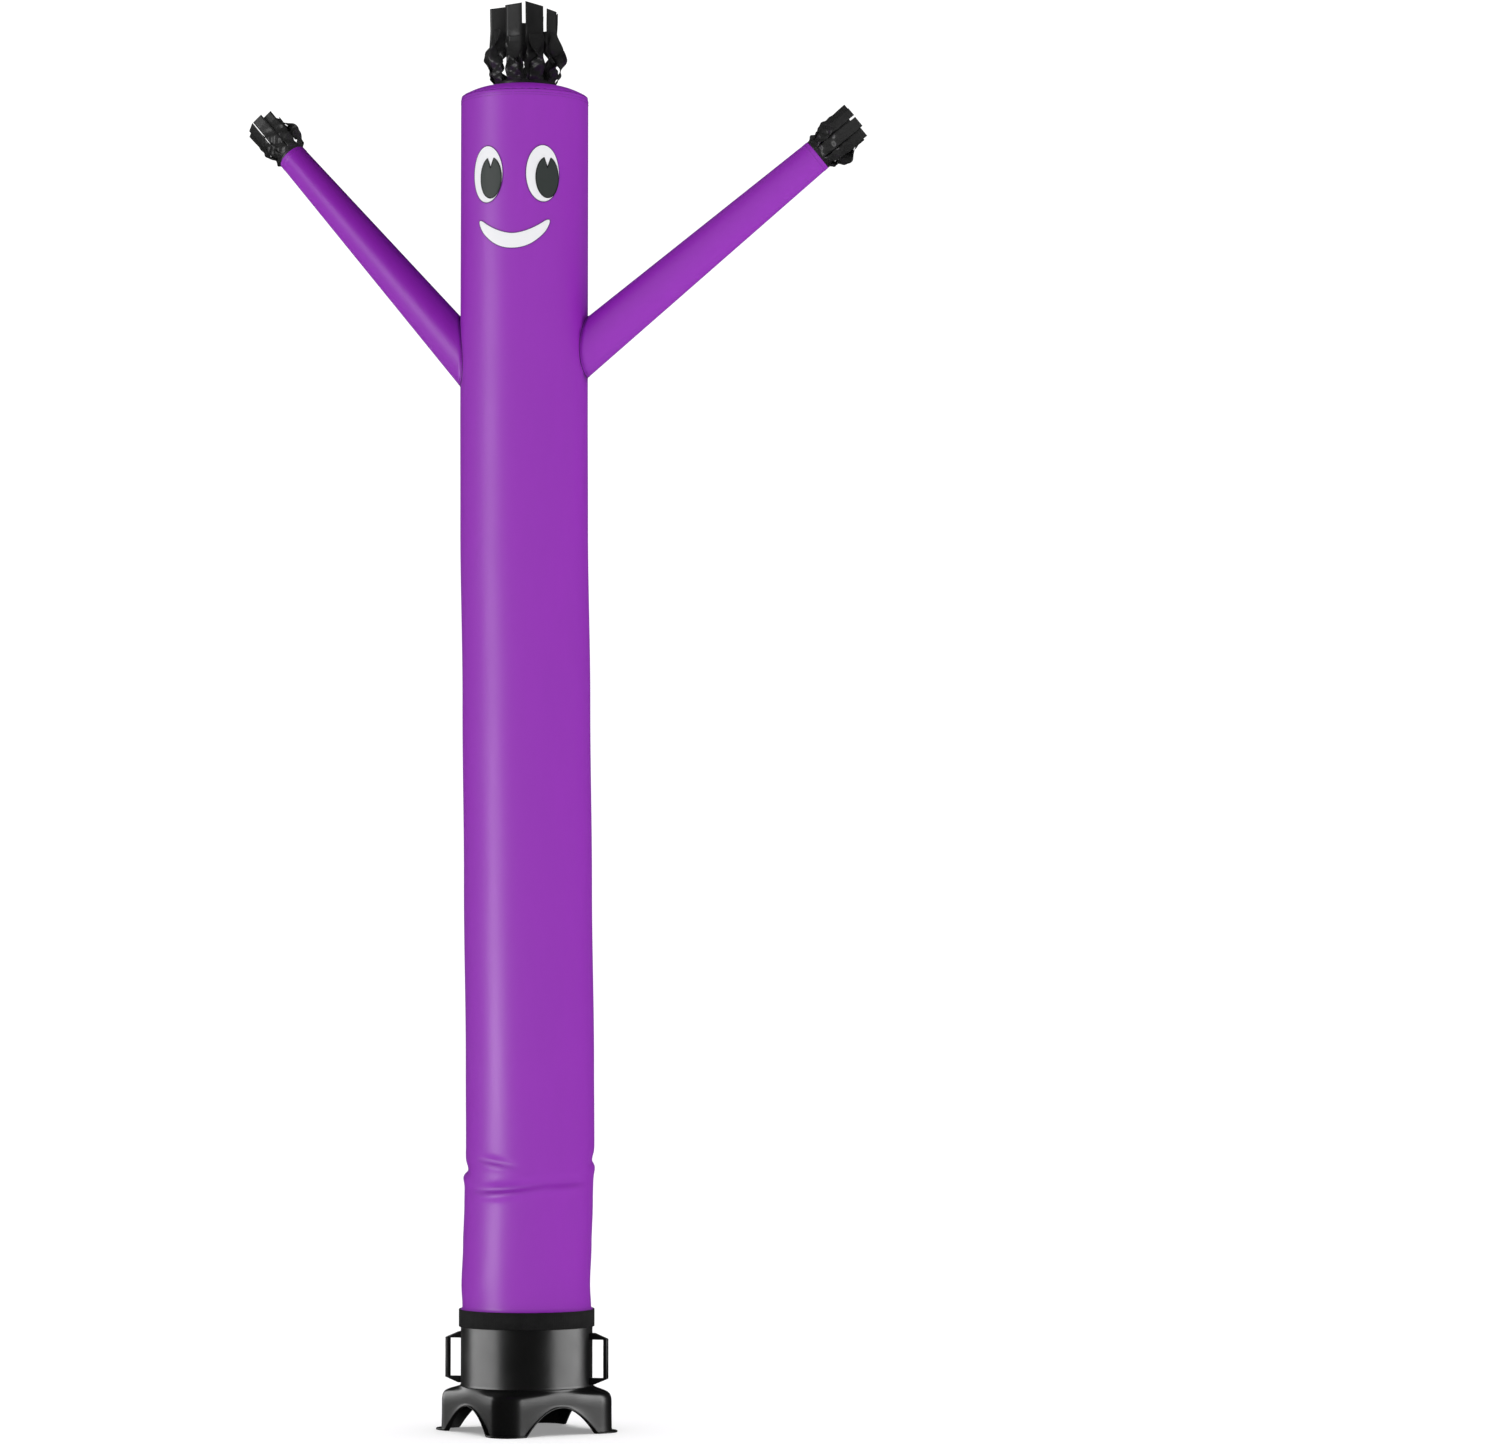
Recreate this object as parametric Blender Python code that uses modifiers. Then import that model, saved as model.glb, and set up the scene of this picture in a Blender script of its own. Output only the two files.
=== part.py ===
# Inflatable air dancer on its round blower: a tall cloth tube with a smiling face, two raised arms
# and cloth strips at the head and hands, held by a strap round the collar of a four-footed blower.
# Metres, +Z up, the face looking along -Y. The origin is on the floor, at the middle of the outline.
import bpy
import bmesh
from math import sin, cos, pi, radians, degrees, sqrt, exp, atan2
from mathutils import Vector, Matrix

# Driving dimensions
axisX, axisY = -0.0444, -0.0057   # the blower's axis, seen from the origin
gap = 0.0003                        # clearance between pieces that touch
tubeRadius = 0.1535                 # the cloth tube's outer radius
clothThickness = 0.0012
tubeSides = 36
seamHeight = 3.197                  # where the tube meets its round head panel
headRise = 0.025                    # how far the head panel domes up
ventRadius = 0.060
hemBottom = 0.2490                  # lower edge of the cloth, round the blower's collar
hemTop = 0.2862
neckTop = 0.2945                    # above this the tube has its full radius
patchThickness = 0.001

drumRadius = 0.157
drumWall = 0.003
drumBottom = 0.1083
drumTop = 0.2790
tapeThickness = 0.0012
strapThickness = 0.0015
strapBottom, strapTop = 0.2485, 0.2895
tapeBottom, tapeTop = 0.2495, 0.2785
rimThickness = 0.006
rimInner = 0.1435
rimOuter = 0.1565
turnSteps = 36

wireRadius = 0.001
firstWire, lastWire, wireCount = 0.040, 0.132, 10
spokeCount = 8
spokeSweep = 70                     # degrees that a spoke curls on its way in
hubRadius = 0.0375
hubThickness = 0.002
screwHead = 0.0028
screwRise = 0.0012

baseHeight = 0.108
baseHalf = 0.162                    # axis to the middle of a side
baseCorner = 0.053                  # radius of the rounded corners, where the legs are
baseWall = 0.0035
frontLeg = -5.3                     # degrees from the face to the front leg
archHalf, archHeight = 0.094, 0.064
flangeReach, lipReach = 0.0135, 0.003  # how far the feet turn out at their corners and beside the arches
flangeThickness = 0.004
footHoleRadius, footHoleOut = 0.0025, 0.0080
handleTop, handleBottom = 0.2335, 0.112
handleReach = 0.1985
handleWidth = 0.020
handleBar = 0.0085                  # thickness of the upright grip
handleArm = 0.0150                  # height of the arms where they meet the drum
handleChamfer = 0.0135

# The tube's lean: how far its axis stands from the blower's axis at each height
leanTable = [
    dict(height=0.295, shift=0.0000), dict(height=0.345, shift=-0.0025), dict(height=0.440, shift=0.0010),
    dict(height=0.540, shift=0.0040), dict(height=0.680, shift=0.0075), dict(height=0.870, shift=0.0064),
    dict(height=1.300, shift=0.0007), dict(height=1.730, shift=-0.0040), dict(height=2.170, shift=-0.0105),
    dict(height=2.460, shift=-0.0115), dict(height=3.300, shift=-0.0115)]

# Folds where the cloth has buckled. Azimuth is in degrees from the face, towards +X. A fold's middle is at
# its height, it climbs by rise for each radian of azimuth, and sags in its middle. Depth is how far it cuts
# in, lip how far the cloth below stands out.
foldTable = [
    dict(azimuth=-12, span=46, height=0.556, rise=0.012, sag=0.010, depth=0.0085, lip=0.0040, width=0.010),
    dict(azimuth=48, span=44, height=0.580, rise=0.014, sag=0.000, depth=0.0060, lip=0.0025, width=0.011),
    dict(azimuth=-22, span=26, height=0.624, rise=-0.004, sag=0.000, depth=0.0050, lip=0.0020, width=0.009),
    dict(azimuth=-84, span=34, height=0.612, rise=-0.010, sag=0.000, depth=0.0080, lip=0.0040, width=0.012),
    dict(azimuth=104, span=40, height=0.640, rise=0.010, sag=0.000, depth=0.0065, lip=0.0030, width=0.012),
    dict(azimuth=178, span=60, height=0.622, rise=0.000, sag=0.012, depth=0.0060, lip=0.0030, width=0.013)]

# The arms. Root is the azimuth where an arm leaves the tube, toward the azimuth that it points along, and
# fringeTurn turns the hand's strips round the arm.
armTable = [
    dict(side="right", root=90, toward=90, climb=39.2, length=0.720, height=2.593,
         rootRadius=0.0565, tipRadius=0.0395, fringeTurn=0),
    dict(side="left", root=-90, toward=-110, climb=46.5, length=0.698, height=2.588,
         rootRadius=0.0560, tipRadius=0.0355, fringeTurn=180)]
armSides = 16

# The cloth strips round the head's vent: wide flat ones inside, twisted ones that bow out round them. Each
# row is one strip, with its azimuth, its length, how far it bows out and where along it, how far it turns
# over, its sideways lean in degrees and its width.
innerHair = [
    dict(azimuth=-12, length=0.187, bulge=0.001, at=0.45, turn=0, lean=-2, width=0.043),
    dict(azimuth=31, length=0.190, bulge=0.002, at=0.40, turn=0, lean=-4, width=0.046),
    dict(azimuth=77, length=0.179, bulge=0.001, at=0.40, turn=20, lean=-3, width=0.035),
    dict(azimuth=122, length=0.176, bulge=0.002, at=0.50, turn=0, lean=3, width=0.035),
    dict(azimuth=167, length=0.178, bulge=0.001, at=0.45, turn=0, lean=-3, width=0.034),
    dict(azimuth=212, length=0.177, bulge=0.002, at=0.40, turn=0, lean=4, width=0.035),
    dict(azimuth=257, length=0.180, bulge=0.001, at=0.50, turn=0, lean=-3, width=0.034),
    dict(azimuth=302, length=0.184, bulge=0.003, at=0.35, turn=-64, lean=2, width=0.040)]
outerHair = [
    dict(azimuth=30, length=0.112, bulge=0.010, at=0.46, turn=180, lean=-3, width=0.034),
    dict(azimuth=70, length=0.122, bulge=0.012, at=0.50, turn=-180, lean=2, width=0.035),
    dict(azimuth=110, length=0.174, bulge=0.014, at=0.32, turn=180, lean=-2, width=0.032),
    dict(azimuth=150, length=0.142, bulge=0.018, at=0.42, turn=-180, lean=3, width=0.034),
    dict(azimuth=190, length=0.166, bulge=0.016, at=0.34, turn=180, lean=-3, width=0.034),
    dict(azimuth=230, length=0.150, bulge=0.017, at=0.44, turn=-180, lean=2, width=0.034),
    dict(azimuth=270, length=0.170, bulge=0.010, at=0.36, turn=180, lean=3, width=0.032),
    dict(azimuth=310, length=0.126, bulge=0.006, at=0.50, turn=-180, lean=-2, width=0.035),
    dict(azimuth=350, length=0.106, bulge=0.009, at=0.44, turn=180, lean=3, width=0.034)]
innerHairRadius, outerHairRadius = 0.0665, 0.0735
hairRingRadius = (innerHairRadius + outerHairRadius) / 2

# The cloth strips round each hand's vent, wide and close together, with two loops at one side
fringeTable = [
    dict(azimuth=0, length=0.096, bulge=0.013, at=0.44, turn=180, lean=3, width=0.024),
    dict(azimuth=40, length=0.104, bulge=0.011, at=0.36, turn=180, lean=-4, width=0.025),
    dict(azimuth=80, length=0.112, bulge=0.006, at=0.50, turn=0, lean=3, width=0.026),
    dict(azimuth=120, length=0.108, bulge=0.005, at=0.42, turn=0, lean=-3, width=0.026),
    dict(azimuth=160, length=0.117, bulge=0.004, at=0.46, turn=0, lean=-4, width=0.027),
    dict(azimuth=200, length=0.120, bulge=0.005, at=0.34, turn=-40, lean=4, width=0.028),
    dict(azimuth=240, length=0.121, bulge=0.003, at=0.48, turn=0, lean=-2, width=0.028),
    dict(azimuth=280, length=0.120, bulge=0.004, at=0.40, turn=0, lean=3, width=0.028),
    dict(azimuth=320, length=0.114, bulge=0.007, at=0.40, turn=40, lean=2, width=0.026)]

stripThickness = 0.001
ringThickness = 0.003

# The face, as sewn-on patches. Arc lengths run round the tube from the middle of the face.
eyeArc = 0.0697
eyeHeight = 2.994
eyeHalfWidth, eyeHalfHeight = 0.042, 0.0685
pupilShift, pupilDrop = 0.0105, 0.009
pupilHalfWidth, pupilHalfHeight = 0.0285, 0.0490
notchHalfWidth, notchDepth = 0.0085, 0.026
mouthHalf = 0.0910
mouthCentre = -0.0033
mouthBottom, mouthInner = 2.8139, 2.8506  # its lower and upper edge at the middle
lowerRise, upperRise = 0.055, 0.041       # how far those edges climb to the corners
mouthRound = 0.83                   # share of its half-width where its ends start to round


# Helpers
def clearScene():
    for thing in list(bpy.data.objects):
        bpy.data.objects.remove(thing, do_unlink=True)


clearScene()
parts = bpy.data.collections.new("inflatable air dancer")
cutters = bpy.data.collections.new("cutters")
bpy.context.scene.collection.children.link(parts)
bpy.context.scene.collection.children.link(cutters)
blowerAxis = bpy.data.objects.new("blowerAxis", None)
blowerAxis.location = (axisX, axisY, 0)
parts.objects.link(blowerAxis)


def material(name, colour, roughness, metallic=0.0):
    made = bpy.data.materials.new(name)
    made.use_nodes = True
    shader = made.node_tree.nodes["Principled BSDF"]
    shader.inputs["Base Color"].default_value = (*colour, 1)
    shader.inputs["Roughness"].default_value = roughness
    shader.inputs["Metallic"].default_value = metallic
    return made


purpleCloth = material("purpleCloth", (0.31, 0.04, 0.49), 0.55)
blackCloth = material("blackCloth", (0.02, 0.02, 0.02), 0.5)
whiteCloth = material("whiteCloth", (0.87, 0.87, 0.88), 0.6)
greyCloth = material("greyCloth", (0.045, 0.055, 0.05), 0.6)
blackPlastic = material("blackPlastic", (0.012, 0.012, 0.012), 0.3)
blackTape = material("blackTape", (0.008, 0.008, 0.008), 0.9)
darkWire = material("darkWire", (0.08, 0.08, 0.08), 0.35, 0.8)


def keep(thing, finish, collection=parts):
    """Puts an object in its collection, on the blower's axis, with its material."""
    for old in list(thing.users_collection):
        old.objects.unlink(thing)
    collection.objects.link(thing)
    thing.parent = blowerAxis
    if finish:
        thing.data.materials.clear()
        thing.data.materials.append(finish)
    return thing


def keepCutter(thing):
    keep(thing, None, cutters)
    thing.hide_render = True
    thing.display_type = "WIRE"
    return thing


def meshObject(name, points, faces, edges=()):
    mesh = bpy.data.meshes.new(name)
    mesh.from_pydata([tuple(p) for p in points], edges, faces)
    mesh.update()
    return bpy.data.objects.new(name, mesh)


def loft(name, rings, caps=False, closed=False):
    """Joins rings of points, each anticlockwise seen from above and listed from the top down."""
    sides = len(rings[0])
    points = [p for ring in rings for p in ring]
    faces = []
    spans = len(rings) if closed else len(rings) - 1
    for row in range(spans):
        here, below = row * sides, (row + 1) % len(rings) * sides
        for k in range(sides):
            nextK = (k + 1) % sides
            faces.append((here + k, below + k, below + nextK, here + nextK))
    if caps:
        faces.append(tuple(range(sides)))
        last = (len(rings) - 1) * sides
        faces.append(tuple(last + k for k in reversed(range(sides))))
    return meshObject(name, points, faces)


def thicken(thing, thickness, offset=-1.0):
    solid = thing.modifiers.new("thickness", "SOLIDIFY")
    solid.thickness = thickness
    solid.offset = offset
    solid.use_even_offset = True
    return thing


def boolean(thing, other, operation):
    cut = thing.modifiers.new(operation.lower(), "BOOLEAN")
    cut.operation = operation
    cut.object = other
    cut.solver = "EXACT"
    return thing


def turned(name, profile, steps=turnSteps):
    """Turns a closed profile, listed down its outer side and up its inner one, round the axis."""
    count = len(profile)
    edges = [(k, (k + 1) % count) for k in range(count)]
    thing = meshObject(name, [(r, 0, z) for r, z in profile], [], edges)
    screw = thing.modifiers.new("turn", "SCREW")
    screw.steps = screw.render_steps = steps
    screw.use_merge_vertices = True
    screw.merge_threshold = 0.0001
    return thing


def band(name, inner, outer, bottom, top, steps=turnSteps):
    return turned(name, [(outer, top), (outer, bottom), (inner, bottom), (inner, top)], steps)


def around(azimuth, radius, height):
    """A point at an azimuth in degrees from the face, towards +X."""
    return Vector((radius * sin(radians(azimuth)), -radius * cos(radians(azimuth)), height))


def joinMeshes(name, things):
    """Makes one mesh object of several, with their modifiers applied."""
    graph = bpy.context.evaluated_depsgraph_get()
    joined = bmesh.new()
    for thing in things:
        mesh = bpy.data.meshes.new_from_object(thing.evaluated_get(graph))
        mesh.transform(thing.matrix_world)
        joined.from_mesh(mesh)
        bpy.data.meshes.remove(mesh)
    bmesh.ops.remove_doubles(joined, verts=joined.verts, dist=0.00001)
    mesh = bpy.data.meshes.new(name)
    joined.to_mesh(mesh)
    joined.free()
    for thing in things:
        bpy.data.objects.remove(thing, do_unlink=True)
    return bpy.data.objects.new(name, mesh)


def flatPiece(name, outline, thickness):
    """A closed outline in X and Y, filled and given its thickness along Z."""
    data = bpy.data.curves.new(name, "CURVE")
    data.dimensions = "2D"
    data.fill_mode = "BOTH"
    data.extrude = thickness / 2
    spline = data.splines.new("POLY")
    spline.points.add(len(outline) - 1)
    for point, (x, y) in zip(spline.points, outline):
        point.co = (x, y, 0, 1)
    spline.use_cyclic_u = True
    flat = bpy.data.objects.new(name, data)
    bpy.context.scene.collection.objects.link(flat)
    bpy.context.view_layer.update()
    return joinMeshes(name, [flat])


# The cloth tube
def lean(height):
    """The tube's shift along X at a height, smoothly between the table's rows."""
    rows = leanTable
    if height <= rows[0]["height"]:
        return rows[0]["shift"]
    for low, high in zip(rows, rows[1:]):
        if height <= high["height"]:
            part = (height - low["height"]) / (high["height"] - low["height"])
            part = part * part * (3 - 2 * part)
            return low["shift"] + (high["shift"] - low["shift"]) * part
    return rows[-1]["shift"]


def foldShift(azimuth, height):
    """How far the buckled cloth stands out, or in where it is below zero."""
    total = 0.0
    for fold in foldTable:
        away = (azimuth - fold["azimuth"] + 180) % 360 - 180
        if abs(away) >= fold["span"]:
            continue
        share = away / fold["span"]
        window = (1 - share * share) ** 2
        middle = fold["height"] + fold["rise"] * radians(away) - fold["sag"] * (1 - share * share)
        step = (height - middle) / fold["width"]
        total += window * (fold["lip"] * exp(-(step + 2) ** 2 / 2) - fold["depth"] * exp(-step * step))
    return total


def plainRadius(height):
    """The outer radius, wide at the hem round the collar and easing in above it."""
    wide = drumRadius + gap + tapeThickness + gap + clothThickness
    if height <= hemTop:
        return wide
    part = min(1.0, (height - hemTop) / (neckTop - hemTop))
    part = part * part * (3 - 2 * part)
    return wide + (tubeRadius - wide) * part


def tubeRing(height, grow=0.0):
    points = []
    for k in range(tubeSides):
        azimuth = 360 * k / tubeSides
        radius = plainRadius(height) + foldShift(azimuth, height) + grow
        points.append(around(azimuth, radius, height) + Vector((lean(height), 0, 0)))
    return points


tubeHeights = [seamHeight, 2.80, 2.46, 2.17, 1.88, 1.60, 1.30, 1.01, 0.87, 0.72, 0.68]
foldRows = 10
foldTop, foldBottom = 0.660, 0.530
tubeHeights += [foldTop - (foldTop - foldBottom) * k / foldRows for k in range(foldRows + 1)]
tubeHeights += [0.49, 0.44, 0.36, neckTop, (neckTop + hemTop) / 2, hemTop, hemBottom]


def makeTube():
    tube = thicken(loft("body_tube", [tubeRing(z) for z in tubeHeights]), clothThickness)
    keep(tube, purpleCloth)
    for arm in armTable:
        boolean(tube, lumenCutter(arm), "DIFFERENCE")
    return tube


# The head panel
def domeHeight(radius):
    share = max(0.0, min(1.0, (radius - hairRingRadius) / (tubeRadius - hairRingRadius)))
    return seamHeight + gap + headRise * (1 - share ** 2.2)


def makeHead():
    radii = [ventRadius, 0.084, 0.108, 0.130, 0.145, tubeRadius]
    shift = Vector((lean(seamHeight), 0, 0))
    outside = [[around(360 * k / tubeSides, r, domeHeight(r) + clothThickness) + shift
                for k in range(tubeSides)] for r in radii]
    inside = [[around(360 * k / tubeSides, r, domeHeight(r)) + shift
               for k in range(tubeSides)] for r in reversed(radii)]
    return keep(loft("head_cap", outside + inside, closed=True), purpleCloth)


# The arms
def armFrame(arm):
    """The middle of the arm's root on the tube's surface, and a frame whose Z runs along the arm."""
    root = around(arm["root"], tubeRadius, arm["height"]) + Vector((lean(arm["height"]), 0, 0))
    flat = around(arm["toward"], 1, 0)
    along = flat * cos(radians(arm["climb"])) + Vector((0, 0, sin(radians(arm["climb"]))))
    side = Vector((0, 0, 1)).cross(flat).normalized()
    up = along.cross(side).normalized()
    return root, Matrix((side, up, along)).transposed().to_4x4()


def placeAlong(thing, arm, distance):
    root, turn = armFrame(arm)
    thing.matrix_local = Matrix.Translation(root) @ turn @ Matrix.Translation((0, 0, distance))
    return thing


armBack = 0.085                     # how far the untrimmed arm runs back inside the tube


def lumenCutter(arm):
    """The round hole through the tube's wall, as wide as the arm is inside."""
    bpy.ops.mesh.primitive_cylinder_add(vertices=armSides, radius=arm["rootRadius"] - clothThickness,
                                        depth=armBack * 2)
    cutter = bpy.context.object
    cutter.name = "lumen_" + arm["side"]
    keepCutter(cutter)
    return placeAlong(cutter, arm, 0)


def makeArm(arm, tubePlug):
    taper = (arm["rootRadius"] - arm["tipRadius"]) / arm["length"]
    total = arm["length"] + armBack
    bpy.ops.mesh.primitive_cone_add(vertices=armSides, radius1=arm["rootRadius"] + taper * armBack,
                                    radius2=arm["tipRadius"], depth=total, end_fill_type="NOTHING")
    sleeve = bpy.context.object
    sleeve.name = "arm_" + arm["side"]
    keep(sleeve, purpleCloth)
    placeAlong(sleeve, arm, arm["length"] - total / 2)
    thicken(sleeve, clothThickness)
    return boolean(sleeve, tubePlug, "DIFFERENCE")


def makeTubePlug():
    """A solid as wide as the tube and its seam gap, which trims the arms to the tube."""
    heights = [z for z in tubeHeights if 2.1 < z < seamHeight]
    return keepCutter(loft("tubePlug", [tubeRing(z, gap) for z in heights], caps=True))


# Cloth strips round the vents
def strip(row, azimuth, radius, segments):
    """One cloth strip rising from a ring: it bows out, may turn over once, and ends square and flat."""
    thing = bmesh.new()
    bmesh.ops.create_grid(thing, x_segments=1, y_segments=segments, size=0.5)
    middle = around(azimuth, 1, 0)
    sideways = around(azimuth + 90, 1, 0)
    for vert in thing.verts:
        across, t = vert.co.x * row["width"], vert.co.y + 0.5
        hump = sin(pi * min(1.0, t / (2 * row["at"])))
        ripple = 0.16 * row["bulge"] * sin(5 * pi * t) * (1 - t)
        out = radius + row["bulge"] * hump + ripple + 0.004 * t
        turned = max(0.0, min(1.0, (t - 0.10) / (2 * row["at"] - 0.14)))
        angle = radians(row["turn"]) * turned * turned * (3 - 2 * turned)
        slide = sin(radians(row["lean"])) * row["length"] * t * 0.3
        vert.co = middle * (out + across * sin(angle)) + sideways * (across * cos(angle) + slide)
        vert.co.z = t * row["length"] - 0.0015
    mesh = bpy.data.meshes.new("strip")
    thing.to_mesh(mesh)
    thing.free()
    made = bpy.data.objects.new("strip", mesh)
    bpy.context.scene.collection.objects.link(made)
    return thicken(made, stripThickness, 0.0)


def makeStrips(name, rows, inner, outer, ringHeight, place):
    """A backing ring with strips rooted in its top, as one solid. Rows are (strip row, azimuth, radius, steps)."""
    strips = [strip(*row) for row in rows]
    bpy.context.view_layer.update()
    bundle = keepCutter(joinMeshes(name + "_strips", strips))
    ring = keep(band(name, inner, outer, -ringHeight, 0, 18), blackCloth)
    boolean(ring, bundle, "UNION")
    for thing in (ring, bundle):
        thing.matrix_local = place
    return ring


def makeHair():
    ringHeight = 0.010
    bottom = domeHeight(hairRingRadius) + clothThickness + gap
    place = Matrix.Translation((lean(seamHeight), 0, bottom + ringHeight))
    rows = [(row, row["azimuth"], innerHairRadius, 8) for row in innerHair]
    rows += [(row, row["azimuth"], outerHairRadius, 12) for row in outerHair]
    inner, outer = innerHairRadius - ringThickness / 2, outerHairRadius + ringThickness / 2
    makeStrips("hair_top", rows, inner, outer, ringHeight, place)
    ringHeight = 0.007
    for arm in armTable:
        root, turnMatrix = armFrame(arm)
        place = Matrix.Translation(root) @ turnMatrix
        place = place @ Matrix.Translation((0, 0, arm["length"] + gap + ringHeight))
        outer = arm["tipRadius"]
        middle = outer - ringThickness / 2
        rows = [(row, row["azimuth"] + arm["fringeTurn"], middle, 6) for row in fringeTable]
        makeStrips("hair_" + arm["side"], rows, outer - ringThickness, outer, ringHeight, place)


# The face
def patch(name, columns, layer, finish):
    """A cloth patch on the tube, from columns of arc length, lower edge and upper edge."""
    shift = Vector((lean(eyeHeight), 0, 0))
    radius = tubeRadius + gap + layer * (patchThickness + gap)
    points, faces = [], []
    for arc, low, high in columns:
        azimuth = degrees(arc / tubeRadius)
        points += [around(azimuth, radius, low) + shift, around(azimuth, radius, high) + shift]
    for k in range(len(columns) - 1):
        faces.append((2 * k, 2 * k + 2, 2 * k + 3, 2 * k + 1))
    return keep(thicken(meshObject(name, points, faces), patchThickness, 1.0), finish)


def ovalColumns(arc, height, halfWidth, halfHeight, steps):
    columns = []
    for k in range(steps + 1):
        angle = radians(10 + 160 * k / steps)
        reach = halfHeight * sin(angle)
        columns.append((arc - halfWidth * cos(angle), height - reach, height + reach))
    return columns


def makeFace():
    for side, sign in (("left", -1), ("right", 1)):
        arc = sign * eyeArc
        white = ovalColumns(arc, eyeHeight, eyeHalfWidth, eyeHalfHeight, 12)
        patch("eye_white_" + side, white, 0, whiteCloth)
        middle, height = arc + pupilShift, eyeHeight - pupilDrop
        columns = []
        for across, low, high in ovalColumns(middle, height, pupilHalfWidth, pupilHalfHeight, 16):
            away = abs(across - middle)
            dip = notchDepth * max(0.0, 1 - away / notchHalfWidth)
            columns.append((across, low, high - dip))
        patch("pupil_" + side, columns, 1, greyCloth)
    columns = []
    steps = 20
    for k in range(steps + 1):
        share = 0.992 * sin(pi / 2 * (2 * k / steps - 1))
        low = mouthBottom + lowerRise * abs(share) ** 2.2
        high = mouthInner + upperRise * abs(share) ** 1.75
        end = max(0.0, (abs(share) - mouthRound) / (1 - mouthRound))
        middle, half = (low + high) / 2, (high - low) / 2 * sqrt(1 - end * end)
        columns.append((mouthCentre + mouthHalf * share, middle - half, middle + half))
    patch("mouth", columns, 0, whiteCloth)


# The blower's drum, collar, rim and grille
def makeDrum():
    keep(band("drum", drumRadius - drumWall, drumRadius, drumBottom, drumTop), blackPlastic)
    inner = drumRadius + gap
    keep(band("hook_tape", inner, inner + tapeThickness, tapeBottom, tapeTop), blackTape)
    inner = drumRadius + tapeThickness + clothThickness + 3 * gap
    keep(band("neck_strap", inner, inner + strapThickness, strapBottom, strapTop), blackTape)
    bottom, top = drumTop + gap, drumTop + gap + rimThickness
    chamfer = 0.003
    rim = turned("rim_ring", [(rimOuter - chamfer, top), (rimOuter, top - chamfer), (rimOuter, bottom),
                              (rimInner, bottom), (rimInner, top)])
    keep(rim, blackPlastic)


def spokeCurve(start):
    """A wire spoke from under the rim, curling in to the hub."""
    outer, inner = drumRadius - drumWall - 0.002, 0.030
    data = bpy.data.curves.new("spoke", "CURVE")
    data.dimensions = "3D"
    data.bevel_depth = wireRadius
    data.bevel_resolution = 0
    data.use_fill_caps = True
    steps = 7
    spline = data.splines.new("POLY")
    spline.points.add(steps)
    for k in range(steps + 1):
        share = k / steps
        radius = outer + (inner - outer) * share
        azimuth = start - spokeSweep * share ** 1.3
        spline.points[k].co = (*around(azimuth, radius, drumTop - wireRadius), 1)
    thing = bpy.data.objects.new("spoke", data)
    bpy.context.scene.collection.objects.link(thing)
    return thing


def makeGrille():
    spokes = [spokeCurve(360 * (k + 0.5) / spokeCount) for k in range(spokeCount)]
    bpy.context.view_layer.update()
    grille = keep(joinMeshes("grille", spokes), darkWire)
    wires = []
    for k in range(wireCount):
        radius = firstWire + (lastWire - firstWire) * k / (wireCount - 1)
        bpy.ops.mesh.primitive_torus_add(major_radius=radius, minor_radius=wireRadius, major_segments=24,
                                         minor_segments=3, location=(0, 0, drumTop + 0.0004))
        wires.append(bpy.context.object)
    bpy.context.view_layer.update()
    boolean(grille, keepCutter(joinMeshes("wireRings", wires)), "UNION")
    hub = band("grille_hub", 0.004, hubRadius, drumTop + gap, drumTop + gap + hubThickness, 24)
    keep(hub, blackPlastic)


def screw(name, azimuth, radius, height):
    bpy.ops.mesh.primitive_cone_add(vertices=10, radius1=screwHead, radius2=screwHead * 0.7, depth=screwRise)
    head = bpy.context.object
    head.name = name
    keep(head, darkWire)
    head.location = around(azimuth, radius, height + gap + screwRise / 2)
    return head


def makeScrews():
    for k in range(spokeCount):
        azimuth = 360 * (k + 0.5) / spokeCount
        onFlat = (rimInner + rimOuter) / 2 - 0.001
        screw("rim_screw_" + str(k + 1), azimuth, onFlat, drumTop + gap + rimThickness)
    for k in range(4):
        screw("hub_screw_" + str(k + 1), 45 + 90 * k, 0.030, drumTop + gap + hubThickness)


# The base: a moulded stand that runs from a round deck to four rounded corners
def baseDirections():
    """Azimuths round the base, six steps along each side and six round each corner."""
    found = []
    flat = baseHalf - baseCorner
    for quarter in range(4):
        for k in range(6):
            along = -flat + 2 * flat * k / 6
            found.append(90 * quarter + 45 + degrees(atan2(along, baseHalf)))
        for k in range(6):
            angle = radians(90 * k / 6)
            x = flat + baseCorner * cos(angle)
            y = flat + baseCorner * sin(angle)
            found.append(90 * quarter + 45 + degrees(atan2(y, x)))
    return found


def squareRadius(azimuth):
    """Distance from the axis to the rounded square's side, at an azimuth from a leg."""
    away = (azimuth - 45 + 45) % 90 - 45
    angle = abs(radians(away))
    flat = baseHalf - baseCorner
    if baseHalf * sin(angle) / cos(angle) <= flat:
        return baseHalf / cos(angle)
    middle = flat * (cos(angle) + sin(angle))
    return middle + sqrt(middle * middle - 2 * flat * flat + baseCorner * baseCorner)


def baseRing(height, blend, grow, flange=False):
    """An outline of the base: round at blend 0, a rounded square at 1, wider by grow and by the flanges."""
    points = []
    for azimuth in baseDirections():
        radius = drumRadius * (1 - blend) + squareRadius(azimuth) * blend + grow
        if flange:
            legAway = min(azimuth % 90, 90 - azimuth % 90)
            radius += lipReach + (flangeReach - lipReach) * max(0.0, cos(radians(2 * legAway))) ** 6
        points.append(around(azimuth + frontLeg, radius, height))
    return points


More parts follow.
